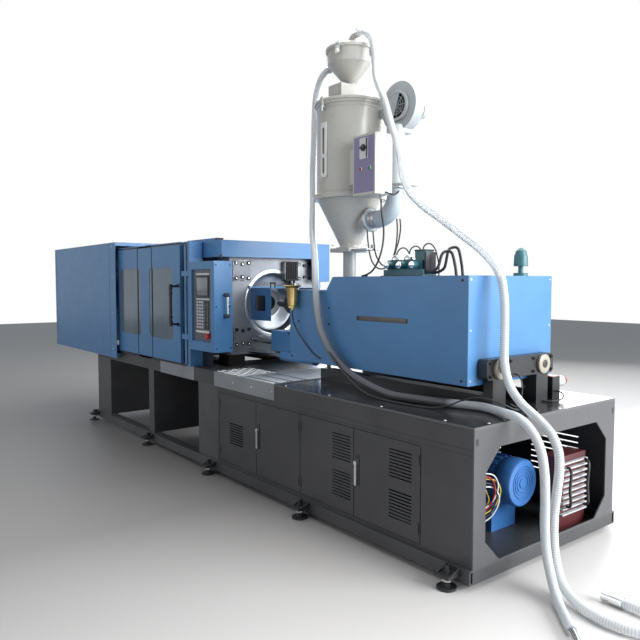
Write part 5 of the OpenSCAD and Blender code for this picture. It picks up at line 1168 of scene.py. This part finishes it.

# Dryer control box: lavender face sheet, a pale controller with a round knob and a dark strip of
# painted shade at its right edge, and chrome collars round the two buttons.
dress("dryer_control", painted("control_box", (0.5, 0.49, 0.45), 0.32, 0.04, zones=(
    ((1.447, -0.2062, 2.03), (1.638, -0.2045, 2.386), (0.215, 0.185, 0.34)),
    ((1.5105, -0.216, 2.241), (1.5875, -0.2062, 2.375), (0.66, 0.67, 0.66)),
)))
# The dark strip on the controller's right edge is painted shade.
fit(
    plate("controller_painted_shade", (1.5735, -0.2172, 2.246), (1.5865, -0.2145, 2.37), 0.001), "carriage",
    painted("controller_painted_shade", (0.02, 0.012, 0.012), 0.1),
)
dress("controller_knob", black_plastic)
pointer = plate("knob_pointer", (1.5482, -0.2336, 2.318), (1.5498, -0.2328, 2.332), 0)
fit(pointer, "controller_knob", white_plastic)
button_rings = [turned(
    "b", (x, -0.205, 2.18), "y", [(0.0135, 0), (0.0175, 0), (0.0165, -0.004), (0.014, -0.005)], 32,
    ring=True,
) for x in (1.513, 1.598)]
fit(welded("button_collars", button_rings), "carriage", chrome)
dress("start_button", painted("start_green", (0.02, 0.22, 0.1), 0.25))
dress("stop_button", painted("stop_red", (0.34, 0.02, 0.04), 0.25))
dress("e_stop", painted("emergency_red", (0.52, 0.03, 0.02), 0.28))

# Deck equipment. Black cross beam with cream bar caps, black lubricator with white cups and red
# caps, teal valve stack with chromed solenoid domes and its hoses, and the brass work lamp. A
# long black lead hangs down the cover's front and lies in loops on the deck.
GUIDE_BARS = (-0.195, 0.195)
GUIDE_BAR_Z = 0.995
beam_black = painted("beam_black", (0.018, 0.018, 0.02), 0.34)
dress("bar_support", beam_black)
cap_profile = [
    (0.0225, 0.0), (0.05, 0.0), (0.0535, 0.003), (0.0535, 0.0155), (0.0505, 0.0175), (0.0225, 0.0175),
]
caps = [turned("c", (2.606, y, GUIDE_BAR_Z), "x", cap_profile, 48, ring=True) for y in GUIDE_BARS]
fit(welded("guide_bar_caps", caps), "base", painted("cap_cream", (0.34, 0.31, 0.25), 0.35))
hubs = [turned("h", (2.606, y, GUIDE_BAR_Z), "x", [
    (0, 0.001), (0.023, 0.001), (0.023, 0.0185), (0.019, 0.0205), (0, 0.0205),
], 32) for y in GUIDE_BARS]
fit(welded("bar_cap_hubs", hubs), "base", black_plastic)
black_screws(
    "beam_screws", "base", (2.606, 0, GUIDE_BAR_Z), "x", 0.018, 0.01,
    grid((0,), (-0.275, -0.105, 0.105, 0.275), (-0.036, 0.036)),
)
dress("lubricator", painted("lubricator_black", (0.016, 0.016, 0.018), 0.3, zones=(
    ((2.38, 0.4045, 0.8), (2.6, 0.4795, 0.95), (0.6, 0.61, 0.6)),
    ((2.38, 0.4795, 0.8), (2.6, 0.52, 0.95), (0.36, 0.02, 0.02)),
)))
pump_parts = [plate("p", (2.386, 0.336, 0.9035), (2.582, 0.398, 0.9055), 0.001), turned(
    "p", (2.42, 0.367, 0.905), "z", [(0, 0), (0.017, 0), (0.017, 0.018), (0.013, 0.022), (0, 0.022)], 24,
)]
fit(welded("lubricator_top", pump_parts), "base", red_plastic)
lead("oil_line", [
    (2.588, 0.35, 0.82), (2.612, 0.35, 0.822), (2.648, 0.338, 0.815), (2.672, 0.3, 0.796),
    (2.668, 0.25, 0.786), (2.64, 0.21, 0.783), (2.6, 0.198, 0.783), (2.575, 0.196, 0.79),
    (2.56, 0.196, 0.81),
], 0.008, "base", rubber)
lead("long_lead", [
    (1.5, -0.452, 1.01), (1.6, -0.463, 0.93), (1.72, -0.471, 0.86), (1.85, -0.478, 0.806),
    (2.0, -0.485, 0.784), (2.2, -0.478, 0.7815), (2.34, -0.455, 0.782), (2.43, -0.42, 0.797),
    (2.5, -0.372, 0.832), (2.565, -0.33, 0.852), (2.63, -0.28, 0.842), (2.66, -0.205, 0.808),
    (2.68, -0.14, 0.7815), (2.715, -0.09, 0.7815), (2.765, -0.11, 0.7815), (2.77, -0.18, 0.7815),
    (2.725, -0.225, 0.7815), (2.672, -0.2, 0.7815), (2.664, -0.14, 0.7835), (2.7, -0.1, 0.79),
    (2.75, -0.125, 0.79), (2.752, -0.175, 0.786), (2.72, -0.195, 0.782),
], 0.009, "base", rubber)
lead("deck_lead", [
    (2.606, -0.06, 0.958), (2.634, -0.062, 0.95), (2.656, -0.068, 0.915), (2.664, -0.078, 0.865),
    (2.668, -0.092, 0.812), (2.688, -0.118, 0.783), (2.722, -0.15, 0.7805), (2.752, -0.14, 0.7805),
    (2.766, -0.1, 0.7805), (2.752, -0.058, 0.7805), (2.715, -0.04, 0.7805), (2.672, -0.046, 0.7805),
    (2.64, -0.06, 0.7805), (2.62, -0.08, 0.785), (2.6075, -0.1, 0.8),
], 0.008, "base", rubber)
teal = painted("valve_teal", (0.045, 0.15, 0.165), 0.38)
dress("valve_block", teal)
domes = [turned("d", (1.642 + k * 0.112, s * 0.094, 1.561), "y", [
    (0, 0), (0.0225, 0), (0.0225, s * 0.004), (0.012, s * 0.006), (0.012, s * 0.016), (0.0085, s * 0.022),
    (0, s * 0.024),
], 28) for k in range(3) for s in (-1, 1)]
fit(welded("solenoid_domes", domes), "carriage", chrome)
top_domes = [turned("t", (1.642 + k * 0.112, 0, 1.59), "z", [
    (0, 0), (0.034, 0), (0.036, 0.004), (0.036, 0.012), (0.033, 0.024), (0.025, 0.034), (0.012, 0.04),
    (0, 0.041),
], 32) for k in range(2)]
fit(welded("valve_domes", top_domes), "carriage", chrome)
plugs = [
    plate("p", (1.602 + k * 0.112, -0.043, 1.5885), (1.682 + k * 0.112, 0.043, 1.5945), 0.001)
    for k in range(2)
]
plugs += [
    plate("p", (1.9255, -0.045, 1.51), (1.942, 0.045, 1.64), 0.003, 3),
    plate("p", (1.836, -0.041, 1.6465), (1.93, 0.041, 1.656), 0.002),
]
plugs.append(plate("p", (1.566, -0.076, 1.4872), (1.944, 0.076, 1.495), 0.001))
fit(welded("valve_plugs", plugs), "carriage", black_plastic)
for k, (x0, x1, top) in enumerate(((1.642, 1.7, 1.662), (1.754, 1.812, 1.668), (1.866, 1.905, 1.68))):
    lead(f"valve_lead_{k + 1}", [
        (x0, 0, 1.612), (x0, 0.001, 1.638), (x0 + 0.01, 0.008, top), (x0 + 0.028, 0.024, top + 0.014),
        (x0 + 0.04, 0.048, top + 0.006), (x0 + 0.046, 0.072, top - 0.026), (x0 + 0.048, 0.092, 1.6),
        (x0 + 0.048, 0.102, 1.555), (x0 + 0.046, 0.106, 1.515), (x0 + 0.044, 0.106, 1.489),
    ], 0.009, "carriage", rubber)
for k, (y, reach) in enumerate(((-0.03, 0.07), (0.03, 0.095))):
    lead(f"oil_hose_{k + 1}", [
        (1.93, y, 1.512), (1.962, y, 1.513), (1.992, y + 0.002, 1.522), (2.018, y + 0.01, 1.548),
        (2.03, y + 0.026, 1.548 + reach), (2.044, y + 0.05, 1.57 + reach), (2.07, y + 0.072, 1.56 + reach),
        (2.086, y + 0.084, 1.52 + reach / 2), (2.092, y + 0.088, 1.505), (2.093, y + 0.089, 1.488),
    ], 0.018, "carriage", rubber, 14)
lead("heater_lead", [
    (1.645, -0.11, 2.03), (1.665, -0.112, 2.022), (1.688, -0.1, 2.012), (1.694, -0.075, 2.012),
    (1.682, -0.045, 2.022), (1.664, -0.015, 2.034), (1.65, 0.012, 2.045),
], 0.011, "carriage", rubber)
lamp_brass = bare_metal("lamp_brass", (0.52, 0.37, 0.15), 0.16, (70, 70, 1), 0.75)
dress("work_lamp", lamp_brass)
bulb = turned(
    "lamp_bulb", (1.05, -0.419, 1.3), "z",
    [(0, 0), (0.014, 0), (0.014, 0.03), (0.026, 0.06), (0.029, 0.085), (0.022, 0.108), (0, 0.116)], 28,
)
fit(bulb, "carriage", white_plastic)
